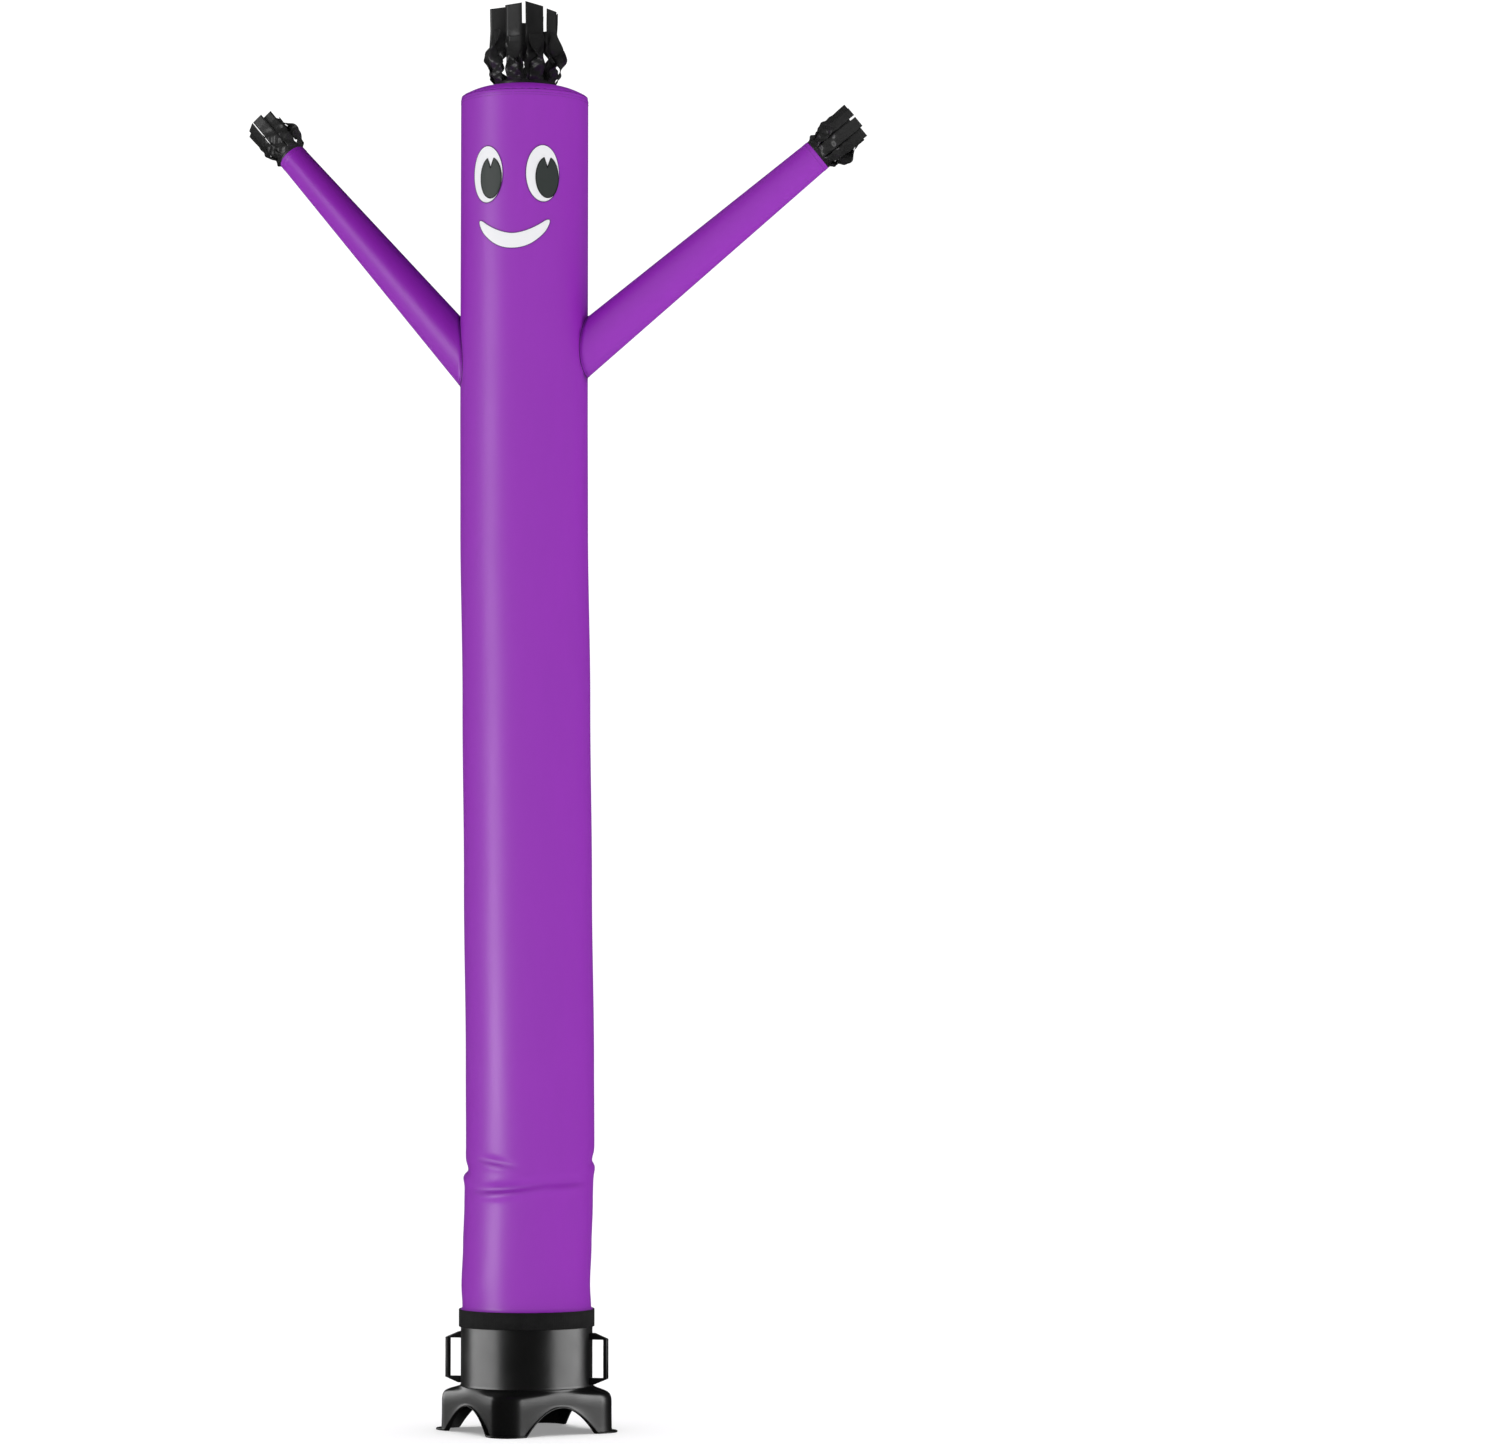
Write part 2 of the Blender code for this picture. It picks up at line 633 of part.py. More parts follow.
def archOutline():
    """The arch between two legs, a parabola that runs on below the floor."""
    steps = 18
    reach = 1.12
    outline = []
    for k in range(steps + 1):
        share = reach * (1 - 2 * k / steps)
        outline.append((archHalf * share, archHeight * (1 - share * share)))
    return outline


# The base's section, over the shoulder to the floor and up its inside: drop is the depth below the deck
shoulderTable = [
    dict(drop=0.0000, blend=0.00, grow=0.0015), dict(drop=0.0015, blend=0.10, grow=0.0005),
    dict(drop=0.0050, blend=0.32, grow=0.0000), dict(drop=0.0090, blend=0.60, grow=0.0000),
    dict(drop=0.0145, blend=0.84, grow=0.0000), dict(drop=0.0230, blend=0.96, grow=0.0000),
    dict(drop=0.0340, blend=1.00, grow=0.0000)]
insideTable = [
    dict(drop=0.0370, blend=1.00), dict(drop=0.0260, blend=0.94), dict(drop=0.0140, blend=0.62),
    dict(drop=0.0080, blend=0.20)]
deckInset = 0.017                   # from the drum's wall in to the edge of the air inlet


def makeBase():
    rings = [baseRing(baseHeight, 0, -deckInset)]
    rings += [baseRing(baseHeight - row["drop"], row["blend"], row["grow"]) for row in shoulderTable]
    rings += [baseRing(flangeThickness, 1, 0.001), baseRing(flangeThickness, 1, 0.001, True)]
    rings += [baseRing(0, 1, 0.001, True), baseRing(0, 1, -baseWall)]
    rings += [baseRing(baseHeight - row["drop"], row["blend"], -baseWall) for row in insideTable]
    rings += [baseRing(baseHeight - baseWall, 0, -deckInset)]
    base = keep(loft("base_stand", rings, closed=True), blackPlastic)
    for k in range(2):
        arch = keepCutter(flatPiece("arch_" + str(k + 1), archOutline(), 2 * baseHalf + 0.2))
        facing = around(frontLeg + 45 + 90 * k, 1, 0)
        upward = Vector((0, 0, 1))
        arch.matrix_local = Matrix((facing.cross(upward), upward, facing)).transposed().to_4x4()
        boolean(base, arch, "DIFFERENCE")
    for k in range(4):
        bpy.ops.mesh.primitive_cylinder_add(vertices=12, radius=footHoleRadius, depth=0.02)
        drill = bpy.context.object
        drill.name = "foot_drill_" + str(k + 1)
        keepCutter(drill)
        drill.location = around(frontLeg + 90 * k, squareRadius(0) + footHoleOut, 0)
        boolean(base, drill, "DIFFERENCE")
    return base


# The carrying handles
def makeHandle(name, azimuth):
    """A handle of C shape with cut-off outer corners, its arms ending just clear of the drum's flat facet."""
    root = drumRadius * cos(pi / turnSteps) + gap + 0.0001
    straight, inside = root + 0.010, handleReach - handleBar
    outline = [(root, handleTop), (straight, handleTop), (handleReach, handleTop - handleChamfer),
               (handleReach, handleBottom + handleChamfer), (straight, handleBottom), (root, handleBottom),
               (root, handleBottom + handleArm), (inside, handleBottom + handleArm),
               (inside, handleTop - handleArm), (root, handleTop - handleArm)]
    handle = keep(flatPiece(name, outline, handleWidth), blackPlastic)
    out, up = around(azimuth, 1, 0), Vector((0, 0, 1))
    handle.matrix_local = Matrix((out, up, out.cross(up))).transposed().to_4x4()
    soften = handle.modifiers.new("edges", "BEVEL")
    soften.width = 0.0012
    soften.segments = 1
    soften.limit_method = "ANGLE"
    return handle


makeTube()
makeHead()
tubePlug = makeTubePlug()
for armRow in armTable:
    makeArm(armRow, tubePlug)
makeHair()
makeFace()
makeDrum()
makeGrille()
makeScrews()
makeBase()
makeHandle("handle_right", frontLeg + 90)
makeHandle("handle_left", frontLeg - 90)

for thing in parts.objects:
    if thing.type == "MESH" and not thing.name.startswith(("hair", "handle", "eye", "pupil", "mouth")):
        thing.data.shade_smooth()
        thing.data.set_sharp_from_angle(angle=radians(35))
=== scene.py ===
from bisect import bisect_right
from math import sin, cos, pi, radians, degrees, sqrt, exp, atan2, hypot

import bpy
from mathutils import Vector, Matrix


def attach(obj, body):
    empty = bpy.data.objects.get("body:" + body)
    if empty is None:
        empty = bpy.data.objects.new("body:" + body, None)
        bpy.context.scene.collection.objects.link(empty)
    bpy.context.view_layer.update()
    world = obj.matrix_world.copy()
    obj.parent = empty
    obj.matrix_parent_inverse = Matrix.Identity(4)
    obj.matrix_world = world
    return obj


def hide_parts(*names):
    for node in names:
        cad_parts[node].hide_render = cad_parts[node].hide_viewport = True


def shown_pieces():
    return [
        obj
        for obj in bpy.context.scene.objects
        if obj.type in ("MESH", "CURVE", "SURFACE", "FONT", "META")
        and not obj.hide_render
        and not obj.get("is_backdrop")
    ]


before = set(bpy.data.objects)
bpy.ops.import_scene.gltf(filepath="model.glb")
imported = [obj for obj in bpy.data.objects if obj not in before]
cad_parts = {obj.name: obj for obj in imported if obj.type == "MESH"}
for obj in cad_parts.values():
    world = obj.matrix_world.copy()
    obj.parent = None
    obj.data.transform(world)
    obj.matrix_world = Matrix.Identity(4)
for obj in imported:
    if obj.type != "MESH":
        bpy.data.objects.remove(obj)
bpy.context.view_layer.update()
print("frame loaded,", len(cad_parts), "nodes")

blower = dict(x=-0.0444, y=-0.0057)  # where the blower's axis stands
axisPlace = Matrix.Translation((blower["x"], blower["y"], 0))
gap = 0.0003  # clearance between pieces that touch


def ease(share):  # a soft step from 0 to 1
    share = max(0.0, min(1.0, share))
    return share * share * (3 - 2 * share)


def around(azimuth, radius, height):  # azimuth in degrees from the face, towards +X
    return Vector((radius * sin(radians(azimuth)), -radius * cos(radians(azimuth)), height))


def table(keys, *rows):  # rows of numbers, named by their columns
    return [dict(zip(keys.split(), row)) for row in rows]


# The camera, at the photograph's place
camera = dict(azimuth=9.3, distance=12.0, height=1.0875, yaw=2.5446, pitch=2.8818, lens=120, sensor=36, far=200)


def makeCamera():
    data = bpy.data.cameras.new("camera")
    data.sensor_fit = "HORIZONTAL"
    data.sensor_width = camera["sensor"]
    data.lens = camera["lens"]
    data.clip_end = camera["far"]
    eye = bpy.data.objects.new("camera", data)
    bpy.context.scene.collection.objects.link(eye)
    place = axisPlace @ Matrix.Translation(around(camera["azimuth"], camera["distance"], camera["height"]))
    turn = Matrix.Rotation(radians(camera["azimuth"] - camera["yaw"]), 4, "Z")
    tilt = Matrix.Rotation(radians(90 + camera["pitch"]), 4, "X")
    eye.matrix_world = place @ turn @ tilt
    bpy.context.scene.camera = eye


makeCamera()
print("camera placed")


# Shader helpers
def give(tree, socket, value):  # a number or colour is set, an output is linked
    if isinstance(value, bpy.types.NodeSocket):
        tree.links.new(value, socket)
    else:
        socket.default_value = value


def addNode(tree, kind, inputs, **settings):
    made = tree.nodes.new("ShaderNode" + kind)
    for name, value in settings.items():
        setattr(made, name, value)
    for name, value in inputs.items():
        give(tree, made.inputs[name], value)
    return made


def calc(tree, operation, *values):
    return addNode(tree, "Math", dict(enumerate(values)), operation=operation).outputs[0]


def times(tree, first, second):
    return calc(tree, "MULTIPLY", first, second)


def humps(tree, value):  # rounded humps side by side, each pi wide
    return calc(tree, "ABSOLUTE", calc(tree, "SINE", value))


def noise(tree, position, scale, detail=2.0, roughness=0.5):
    inputs = dict(Vector=position, Scale=scale, Detail=detail, Roughness=roughness)
    return addNode(tree, "TexNoise", inputs).outputs["Fac"]


def mapRange(tree, value, *ends, **settings):  # ends: from low and high, to low and high
    names = ("From Min", "From Max", "To Min", "To Max")
    return addNode(tree, "MapRange", dict(zip(names, ends), Value=value), **settings).outputs[0]


def newGroup(name, gives, **amounts):  # every group takes a position, and amounts with usual values
    group = bpy.data.node_groups.new(name, "ShaderNodeTree")
    group.interface.new_socket(name="Position", in_out="INPUT", socket_type="NodeSocketVector")
    for label, value in amounts.items():
        socket = group.interface.new_socket(name=label, in_out="INPUT", socket_type="NodeSocketFloat")
        socket.default_value = value
    for label in gives:
        group.interface.new_socket(name=label, in_out="OUTPUT", socket_type="NodeSocketFloat")
    return group, group.nodes.new("NodeGroupInput").outputs, group.nodes.new("NodeGroupOutput").inputs


def unrolled(group, position, radius):  # arc length round local Z, and height
    x, y, height = addNode(group, "SeparateXYZ", {0: position}).outputs
    return times(group, calc(group, "ARCTAN2", x, times(group, y, -1.0)), radius), height


def makeWeaveGroup():  # plain weave: threads go over and under each other
    group, given, result = newGroup("plainWeave", ["Height"], Radius=0.15, Threads=1600.0)
    arc, height = unrolled(group, given["Position"], given["Radius"])
    warp, weft = times(group, arc, given["Threads"]), times(group, height, given["Threads"])
    cell = calc(group, "ADD", calc(group, "FLOOR", warp), calc(group, "FLOOR", weft))
    over = calc(group, "FLOORED_MODULO", cell, 2.0)
    under = calc(group, "SUBTRACT", 1.0, over)
    warpBulge, weftBulge = (humps(group, times(group, thread, pi)) for thread in (warp, weft))
    both = calc(group, "MULTIPLY_ADD", over, warpBulge, times(group, under, weftBulge))
    give(group, result["Height"], both)
    return group


def makeCreaseGroup():  # soft creases and uneven colour of cloth that has been packed
    group, given, result = newGroup("clothCreases", ["Height", "Shade"], Scale=9.0)
    inputs = {0: given["Position"], 1: (1.0, 1.0, 0.35)}
    tall = addNode(group, "VectorMath", inputs, operation="MULTIPLY").outputs[0]
    wide = noise(group, tall, given["Scale"], detail=3.0, roughness=0.55)
    fine = noise(group, given["Position"], times(group, given["Scale"], 7.0))
    ridge = calc(group, "ABSOLUTE", calc(group, "SUBTRACT", wide, 0.5))
    give(group, result["Height"], calc(group, "MULTIPLY_ADD", fine, 0.12, times(group, ridge, 2.0)))
    give(group, result["Shade"], wide)
    return group


def makePlasticGroup():  # moulded grain, and rubbed patches
    group, given, result = newGroup("mouldedGrain", ["Height", "Rub"], Grain=1400.0, Wear=14.0)
    give(group, result["Height"], noise(group, given["Position"], given["Grain"], roughness=0.6))
    give(group, result["Rub"], noise(group, given["Position"], given["Wear"], detail=4.0, roughness=0.6))
    return group


def makeDustGroup():  # dust that settles where a surface looks up
    group, given, result = newGroup("settledDust", ["Mask"], Amount=0.1)
    normal = addNode(group, "NewGeometry", {}).outputs["Normal"]
    upward = calc(group, "MAXIMUM", addNode(group, "SeparateXYZ", {0: normal}).outputs[2], 0.0)
    patchy = noise(group, given["Position"], 60.0, detail=4.0, roughness=0.7)
    give(group, result["Mask"], times(group, times(group, upward, patchy), given["Amount"]))
    return group


def makeTapeGroup():  # columns of small loops, as on hook-and-loop tape
    group, given, result = newGroup("loopTape", ["Height", "Shade"], Radius=0.16, Columns=650.0, Rows=900.0)
    arc, height = unrolled(group, given["Position"], given["Radius"])
    column = humps(group, times(group, arc, given["Columns"]))
    row = humps(group, times(group, height, given["Rows"]))
    fluff = noise(group, given["Position"], 1500.0, roughness=0.7)
    loops = times(group, calc(group, "POWER", column, 0.6), calc(group, "MULTIPLY_ADD", row, 0.5, 0.5))
    give(group, result["Height"], calc(group, "MULTIPLY_ADD", fluff, 0.8, loops))
    give(group, result["Shade"], noise(group, given["Position"], 35.0, detail=3.0, roughness=0.6))
    return group


plainWeave = makeWeaveGroup()
clothCreases = makeCreaseGroup()
mouldedGrain = makePlasticGroup()
settledDust = makeDustGroup()
loopTape = makeTapeGroup()


class Finish:  # a new material with its shader, its tree and its own coordinates
    def __init__(self, name, colour, roughness):
        self.material = bpy.data.materials.new(name)
        self.material.use_nodes = True
        self.material.diffuse_color = (*colour, 1)
        self.tree = self.material.node_tree
        self.shader = self.tree.nodes["Principled BSDF"]
        self.colour((*colour, 1))
        self.roughness(roughness)
        self.position = addNode(self.tree, "TexCoord", {}).outputs["Object"]

    def colour(self, value):
        give(self.tree, self.shader.inputs["Base Color"], value)

    def roughness(self, value):
        give(self.tree, self.shader.inputs["Roughness"], value)

    def effect(self, group, **values):
        return addNode(self.tree, "Group", {"Position": self.position, **values}, node_tree=group).outputs

    def bump(self, height, strength, distance, under=None):
        inputs = dict(Height=height, Strength=strength, Distance=distance)
        if under:
            inputs["Normal"] = under
        made = addNode(self.tree, "Bump", inputs).outputs[0]
        give(self.tree, self.shader.inputs["Normal"], made)
        return made

    def mixed(self, share, first, second):
        return addNode(self.tree, "Mix", {0: share, 6: first, 7: second}, data_type="RGBA").outputs[2]

    def ranged(self, value, low, high):  # spreads the middle of a noise from low to high
        return mapRange(self.tree, value, 0.3, 0.7, low, high)


nylon = dict(creaseScale=9.0, creaseDepth=0.0015, threads=1600.0, weave=0.08, weaveDepth=0.0001, uneven=0.03)
moulding = dict(grain=1400.0, wear=14.0, bump=0.12, depth=0.0002, uneven=0.04, dust=0.012,
                dustColour=(0.30, 0.29, 0.28, 1))
loopPile = dict(columns=650.0, rows=900.0, roughness=0.85, shine=0.15, lighter=1.9, bump=0.7, depth=0.0006)
plating = dict(metallic=0.85, grain=900.0, wear=40.0, bump=0.1, depth=0.0001, smoother=0.08, rougher=0.10)


def clothFinish(name, colour, deep, radius, roughness=0.42, creases=0.25):
    made = Finish(name, colour, roughness)
    crease = made.effect(clothCreases, Scale=nylon["creaseScale"])
    weave = made.effect(plainWeave, Radius=radius, Threads=nylon["threads"])
    made.colour(made.mixed(made.ranged(crease["Shade"], 0.0, 1.0), (*colour, 1), (*deep, 1)))
    made.roughness(made.ranged(crease["Shade"], roughness - nylon["uneven"], roughness + nylon["uneven"]))
    soft = made.bump(crease["Height"], creases, nylon["creaseDepth"])
    made.bump(weave["Height"], nylon["weave"], nylon["weaveDepth"], soft)
    return made.material


def plasticFinish(name, colour, roughness):
    made = Finish(name, colour, roughness)
    grain = made.effect(mouldedGrain, Grain=moulding["grain"], Wear=moulding["wear"])
    settled = made.effect(settledDust, Amount=moulding["dust"])
    made.colour(made.mixed(settled["Mask"], (*colour, 1), moulding["dustColour"]))
    made.roughness(made.ranged(grain["Rub"], roughness - moulding["uneven"], roughness + moulding["uneven"]))
    made.bump(grain["Height"], moulding["bump"], moulding["depth"])
    return made.material


def tapeFinish(name, colour, radius):
    made = Finish(name, colour, loopPile["roughness"])
    loops = made.effect(loopTape, Radius=radius, Columns=loopPile["columns"], Rows=loopPile["rows"])
    made.shader.inputs["Specular IOR Level"].default_value = loopPile["shine"]
    lighter = tuple(loopPile["lighter"] * c for c in colour)
    made.colour(made.mixed(made.ranged(loops["Shade"], 0.0, 1.0), (*colour, 1), (*lighter, 1)))
    made.bump(loops["Height"], loopPile["bump"], loopPile["depth"])
    return made.material


def wireFinish(name, colour, roughness):
    made = Finish(name, colour, roughness)
    made.shader.inputs["Metallic"].default_value = plating["metallic"]
    grain = made.effect(mouldedGrain, Grain=plating["grain"], Wear=plating["wear"])
    made.roughness(made.ranged(grain["Rub"], roughness - plating["smoother"], roughness + plating["rougher"]))
    made.bump(grain["Height"], plating["bump"], plating["depth"])
    return made.material


# cloth: its colour, its darker colour, and the radius that the weave is laid round
finishes = dict(
    tube=clothFinish("tubeNylon", (0.315, 0.020, 0.505), (0.303, 0.018, 0.492), 0.1535),
    arm=clothFinish("armNylon", (0.315, 0.020, 0.505), (0.303, 0.018, 0.492), 0.048),
    # the head panel is the tube's nylon painted darker: painted shade on the dome
    head=clothFinish("headNylonPaintedShade", (0.290, 0.018, 0.470), (0.275, 0.016, 0.455), 0.10),
    hair=clothFinish("stripNylon", (0.036, 0.036, 0.036), (0.009, 0.009, 0.009), 0.07, 0.36, 0.6),
    white=clothFinish("whiteNylon", (0.90, 0.90, 0.92), (0.87, 0.87, 0.90), 0.1535, 0.5, 0.1),
    grey=clothFinish("greyNylon", (0.040, 0.050, 0.046), (0.034, 0.044, 0.040), 0.1535, 0.5, 0.1),
    purpleThread=clothFinish("purpleThread", (0.120, 0.014, 0.200), (0.100, 0.010, 0.170), 0.1535, 0.5, 0.1),
    darkThread=clothFinish("darkThread", (0.012, 0.014, 0.013), (0.010, 0.012, 0.011), 0.1535, 0.5, 0.1),
    plastic=plasticFinish("mouldedPlastic", (0.0035, 0.0035, 0.0035), 0.34),
    tape=tapeFinish("hookAndLoop", (0.0042, 0.0042, 0.0042), 0.1605),
    wire=wireFinish("platedWire", (0.16, 0.16, 0.16), 0.38))
print("finishes made,", len(finishes))


# Mesh helpers
def smoothed(mesh, sharp=None):  # sharp: creases stay where faces meet at more than these degrees
    mesh.shade_smooth()
    if sharp:
        mesh.set_sharp_from_angle(angle=radians(sharp))


def meshPiece(name, points, faces, finish, place=axisPlace, sharp=None):
    mesh = bpy.data.meshes.new(name)
    mesh.from_pydata([tuple(p) for p in points], [], faces)
    mesh.materials.append(finishes[finish])
    smoothed(mesh, sharp)
    made = bpy.data.objects.new(name, mesh)
    bpy.context.scene.collection.objects.link(made)
    made.matrix_world = place
    return made


def stripOfFaces(rows, sides, closedRows=False, closedSides=True):
    faces = []
    for row in range(rows if closedRows else rows - 1):
        here, below = row * sides, (row + 1) % rows * sides
        for k in range(sides if closedSides else sides - 1):
            after = (k + 1) % sides
            faces.append((here + k, below + k, below + after, here + after))
    return faces


def loft(name, rings, finish, closed=False, place=axisPlace, sharp=None):
    # rings run anticlockwise seen from above, and are listed from the top down
    points = [p for ring in rings for p in ring]
    return meshPiece(name, points, stripOfFaces(len(rings), len(rings[0]), closed), finish, place, sharp)


def turned(name, profile, finish, sides, sharp=None):
    # profile is closed, down its outer side and up its inner one
    rings = [[around(360 * k / sides, r, z) for k in range(sides)] for r, z in profile]
    return loft(name, rings, finish, closed=True, sharp=sharp)


def settle(made):  # applies an object's modifiers to its mesh
    graph = bpy.context.evaluated_depsgraph_get()
    mesh = bpy.data.meshes.new_from_object(made.evaluated_get(graph))
    made.modifiers.clear()
    made.data = mesh
    return made


def thicken(made, thickness, offset=-1.0):
    solid = made.modifiers.new("thickness", "SOLIDIFY")
    solid.thickness = thickness
    solid.offset = offset
    solid.use_even_offset = True
    return settle(made)


def cutBy(made, cutters):
    for cutter in cutters:
        cut = made.modifiers.new("cut", "BOOLEAN")
        cut.operation = "DIFFERENCE"
        cut.solver = "EXACT"
        cut.object = cutter
    settle(made)
    for cutter in cutters:
        bpy.data.objects.remove(cutter, do_unlink=True)


def joined(name, things):
    for thing in things[1:]:
        thing.data.transform(things[0].matrix_world.inverted() @ thing.matrix_world)
    with bpy.context.temp_override(active_object=things[0], object=things[0], selected_objects=things,
                                   selected_editable_objects=things):
        bpy.ops.object.join()
    things[0].name = name
    return things[0]


def post(name, sides, radius, low, high, place):
    points = [(radius * cos(2 * pi * k / sides), radius * sin(2 * pi * k / sides), z)
              for z in (high, low) for k in range(sides)]
    faces = stripOfFaces(2, sides) + [tuple(range(sides)), tuple(sides + k for k in reversed(range(sides)))]
    return meshPiece(name, points, faces, "plastic", place)


def put(made, slot, *nodes):
    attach(made, "root")
    if nodes:
        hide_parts(*nodes)
    return made


# Stitches: short raised threads. The shape gives shares of a stitch's length, and its thickness there
stitch = dict(length=0.0034, space=0.0014, radius=0.0004,
              shape=((0.0, 0.45), (0.2, 0.95), (0.8, 0.95), (1.0, 0.45)))


def stitches(name, path, outward):  # along a path, with the cloth's outward direction at each point
    points, faces = [], []
    lengths = [0.0]
    for a, b in zip(path, path[1:]):
        lengths.append(lengths[-1] + (b - a).length)

    def at(distance):
        low = min(bisect_right(lengths, distance) - 1, len(lengths) - 2)
        share = (distance - lengths[low]) / max(lengths[low + 1] - lengths[low], 1e-9)
        return path[low].lerp(path[low + 1], share), outward[low].lerp(outward[low + 1], share).normalized()

    pitch = stitch["length"] + stitch["space"]
    for k in range(int(lengths[-1] / pitch)):
        start = k * pitch
        here, up = at(start)
        there = at(start + stitch["length"])[0]
        side = (there - here).normalized().cross(up).normalized()
        first = len(points)
        for share, swell in stitch["shape"]:
            centre, up = at(start + share * stitch["length"])
            radius = stitch["radius"] * swell
            centre = centre + up * (stitch["radius"] * (swell - 0.5))
            points += [centre + way * radius for way in (side, up, -side, -up)]
        faces += [tuple(first + f for f in face) for face in stripOfFaces(4, 4)]
        faces += [tuple(first + f for f in end) for end in ((0, 1, 2, 3), (15, 14, 13, 12))]
    put(meshPiece(name, points, faces, "purpleThread"), "purple_cloth")


# The cloth tube
tube = dict(radius=0.1535, thickness=0.0010, sides=144, seam=3.197, hemBottom=0.2490, hemTop=0.2862,
            neckTop=0.2945, hemRadius=0.1600, backRidge=0.0006, ridgeHalf=0.0050, seamDip=0.0011,
            dipHalf=0.0035, holeSides=72, holeTrim=0.0012, holeReach=0.085)
tubeRows = [(3.197, 3.182, 0.0015), (3.182, 0.70, 0.034), (0.70, 0.46, 0.003), (0.46, 0.31, 0.012),
            (0.31, 0.249, 0.003)]  # heights: from, to and step
ridgeColumns = (1.2, 2.2, 3.0, 3.6)  # degrees to each side of the back's middle

# how far the tube's axis stands from the blower's at each height
leanTable = [(0.295, 0.0000), (0.345, -0.0025), (0.440, 0.0010), (0.540, 0.0040), (0.680, 0.0075),
             (0.870, 0.0064), (1.300, 0.0007), (1.730, -0.0040), (2.170, -0.0105), (2.460, -0.0115)]

# buckles in the cloth: azimuth and span in degrees, the rest in metres
foldTable = table(
    "azimuth span height rise sag depth lip width",
    (-12, 46, 0.588, 0.012, 0.008, 0.0085, 0.0040, 0.010),
    (44, 40, 0.594, 0.004, 0.000, 0.0060, 0.0025, 0.011),
    (-24, 28, 0.643, -0.022, 0.000, 0.0055, 0.0020, 0.009),
    (-84, 34, 0.621, -0.010, 0.000, 0.0080, 0.0040, 0.012),
    (104, 40, 0.644, 0.010, 0.000, 0.0055, 0.0025, 0.012),
    (178, 60, 0.622, 0.000, 0.012, 0.0060, 0.0030, 0.013))
foldSlope = dict(above=0.7, below=1.25, lip=2)  # softer above a tuck than below it, where its lip stands


def lean(height):
    if height <= leanTable[0][0]:
        return leanTable[0][1]
    for (low, before), (high, after) in zip(leanTable, leanTable[1:]):
        if height <= high:
            return before + (after - before) * ease((height - low) / (high - low))
    return leanTable[-1][1]


def leaning(height):  # from the blower's axis to the tube's
    return Vector((lean(height), 0, 0))


def foldShift(azimuth, height):
    total = 0.0
    for fold in foldTable:
        away = (azimuth - fold["azimuth"] + 180) % 360 - 180
        if abs(away) < fold["span"]:
            share = away / fold["span"]
            middle = fold["height"] + fold["rise"] * radians(away) - fold["sag"] * (1 - share * share)
            step = (height - middle) / fold["width"]
            step *= foldSlope["above"] if step > 0 else foldSlope["below"]
            total += (1 - share * share) ** 2 * (fold["lip"] * exp(-(step + foldSlope["lip"]) ** 2 / 2)
                                                 - fold["depth"] * exp(-step * step))
    return total


def tubeRadiusAt(azimuth, height):
    wide = tube["hemRadius"]
    narrowing = ease((height - tube["hemTop"]) / (tube["neckTop"] - tube["hemTop"]))
    radius = wide + (tube["radius"] - wide) * narrowing
    radius += foldShift(azimuth, height)
    arc = radians((azimuth % 360) - 180) * tube["radius"]
    radius += tube["backRidge"] * ease(2 - abs(arc) / tube["ridgeHalf"])
    return radius - tube["seamDip"] * exp(-((tube["seam"] - height) / tube["dipHalf"]) ** 2)


def tubePoint(azimuth, height, proud=0.0):
    return around(azimuth, tubeRadiusAt(azimuth, height) + proud, height) + leaning(height)


def spread(rows):  # values from rows of (from, to, step), without repeats
    found = []
    for start, end, step in rows:
        count = max(1, round(abs(end - start) / step))
        found += [start + (end - start) * k / count for k in range(count)]
    return found + [rows[-1][1]]


arms = dict(
    right=dict(root=90, toward=90, climb=39.2, length=0.720, height=2.593, rootRadius=0.0565,
               tipRadius=0.0395, stripTurn=0),
    left=dict(root=-90, toward=-110, climb=46.5, length=0.698, height=2.588, rootRadius=0.0560,
              tipRadius=0.0355, stripTurn=180))


def armFrame(arm):  # local Z runs along the arm, from the tube's wall
    root = around(arm["root"], tube["radius"], arm["height"]) + leaning(arm["height"])
    flat = around(arm["toward"], 1, 0)
    along = flat * cos(radians(arm["climb"])) + Vector((0, 0, sin(radians(arm["climb"]))))
    side = Vector((0, 0, 1)).cross(flat).normalized()
    up = along.cross(side).normalized()
    return Matrix.Translation(root) @ Matrix((side, up, along)).transposed().to_4x4()


def makeTube():
    azimuths = [360 * k / tube["sides"] for k in range(tube["sides"])]
    azimuths += [180 + sign * shift for shift in ridgeColumns for sign in (-1, 1)]
    azimuths.sort()
    rings = [[tubePoint(a, z) for a in azimuths] for z in spread(tubeRows)]
    cloth = thicken(loft("tubeCloth", rings, "tube"), tube["thickness"])
    reach = tube["holeReach"]
    cutBy(cloth, [post("armHole", tube["holeSides"], arm["rootRadius"] - tube["holeTrim"], -reach, reach,
                       axisPlace @ armFrame(arm)) for arm in arms.values()])
    put(cloth, "purple_cloth", "body_tube")


# The head panel, domed, puckered where it is sewn to the tube
head = dict(rise=0.025, domePower=2.2, vent=0.060, ring=0.070, thickness=0.0010, sides=208, puckers=52,
            pucker=0.0005, puckerWidth=0.010, tuckWidth=0.003, flatRadius=0.1575)


def domeHeight(radius):
    share = max(0.0, min(1.0, (radius - head["ring"]) / (tube["radius"] - head["ring"])))
    return tube["seam"] + gap + head["rise"] * (1 - share ** head["domePower"])


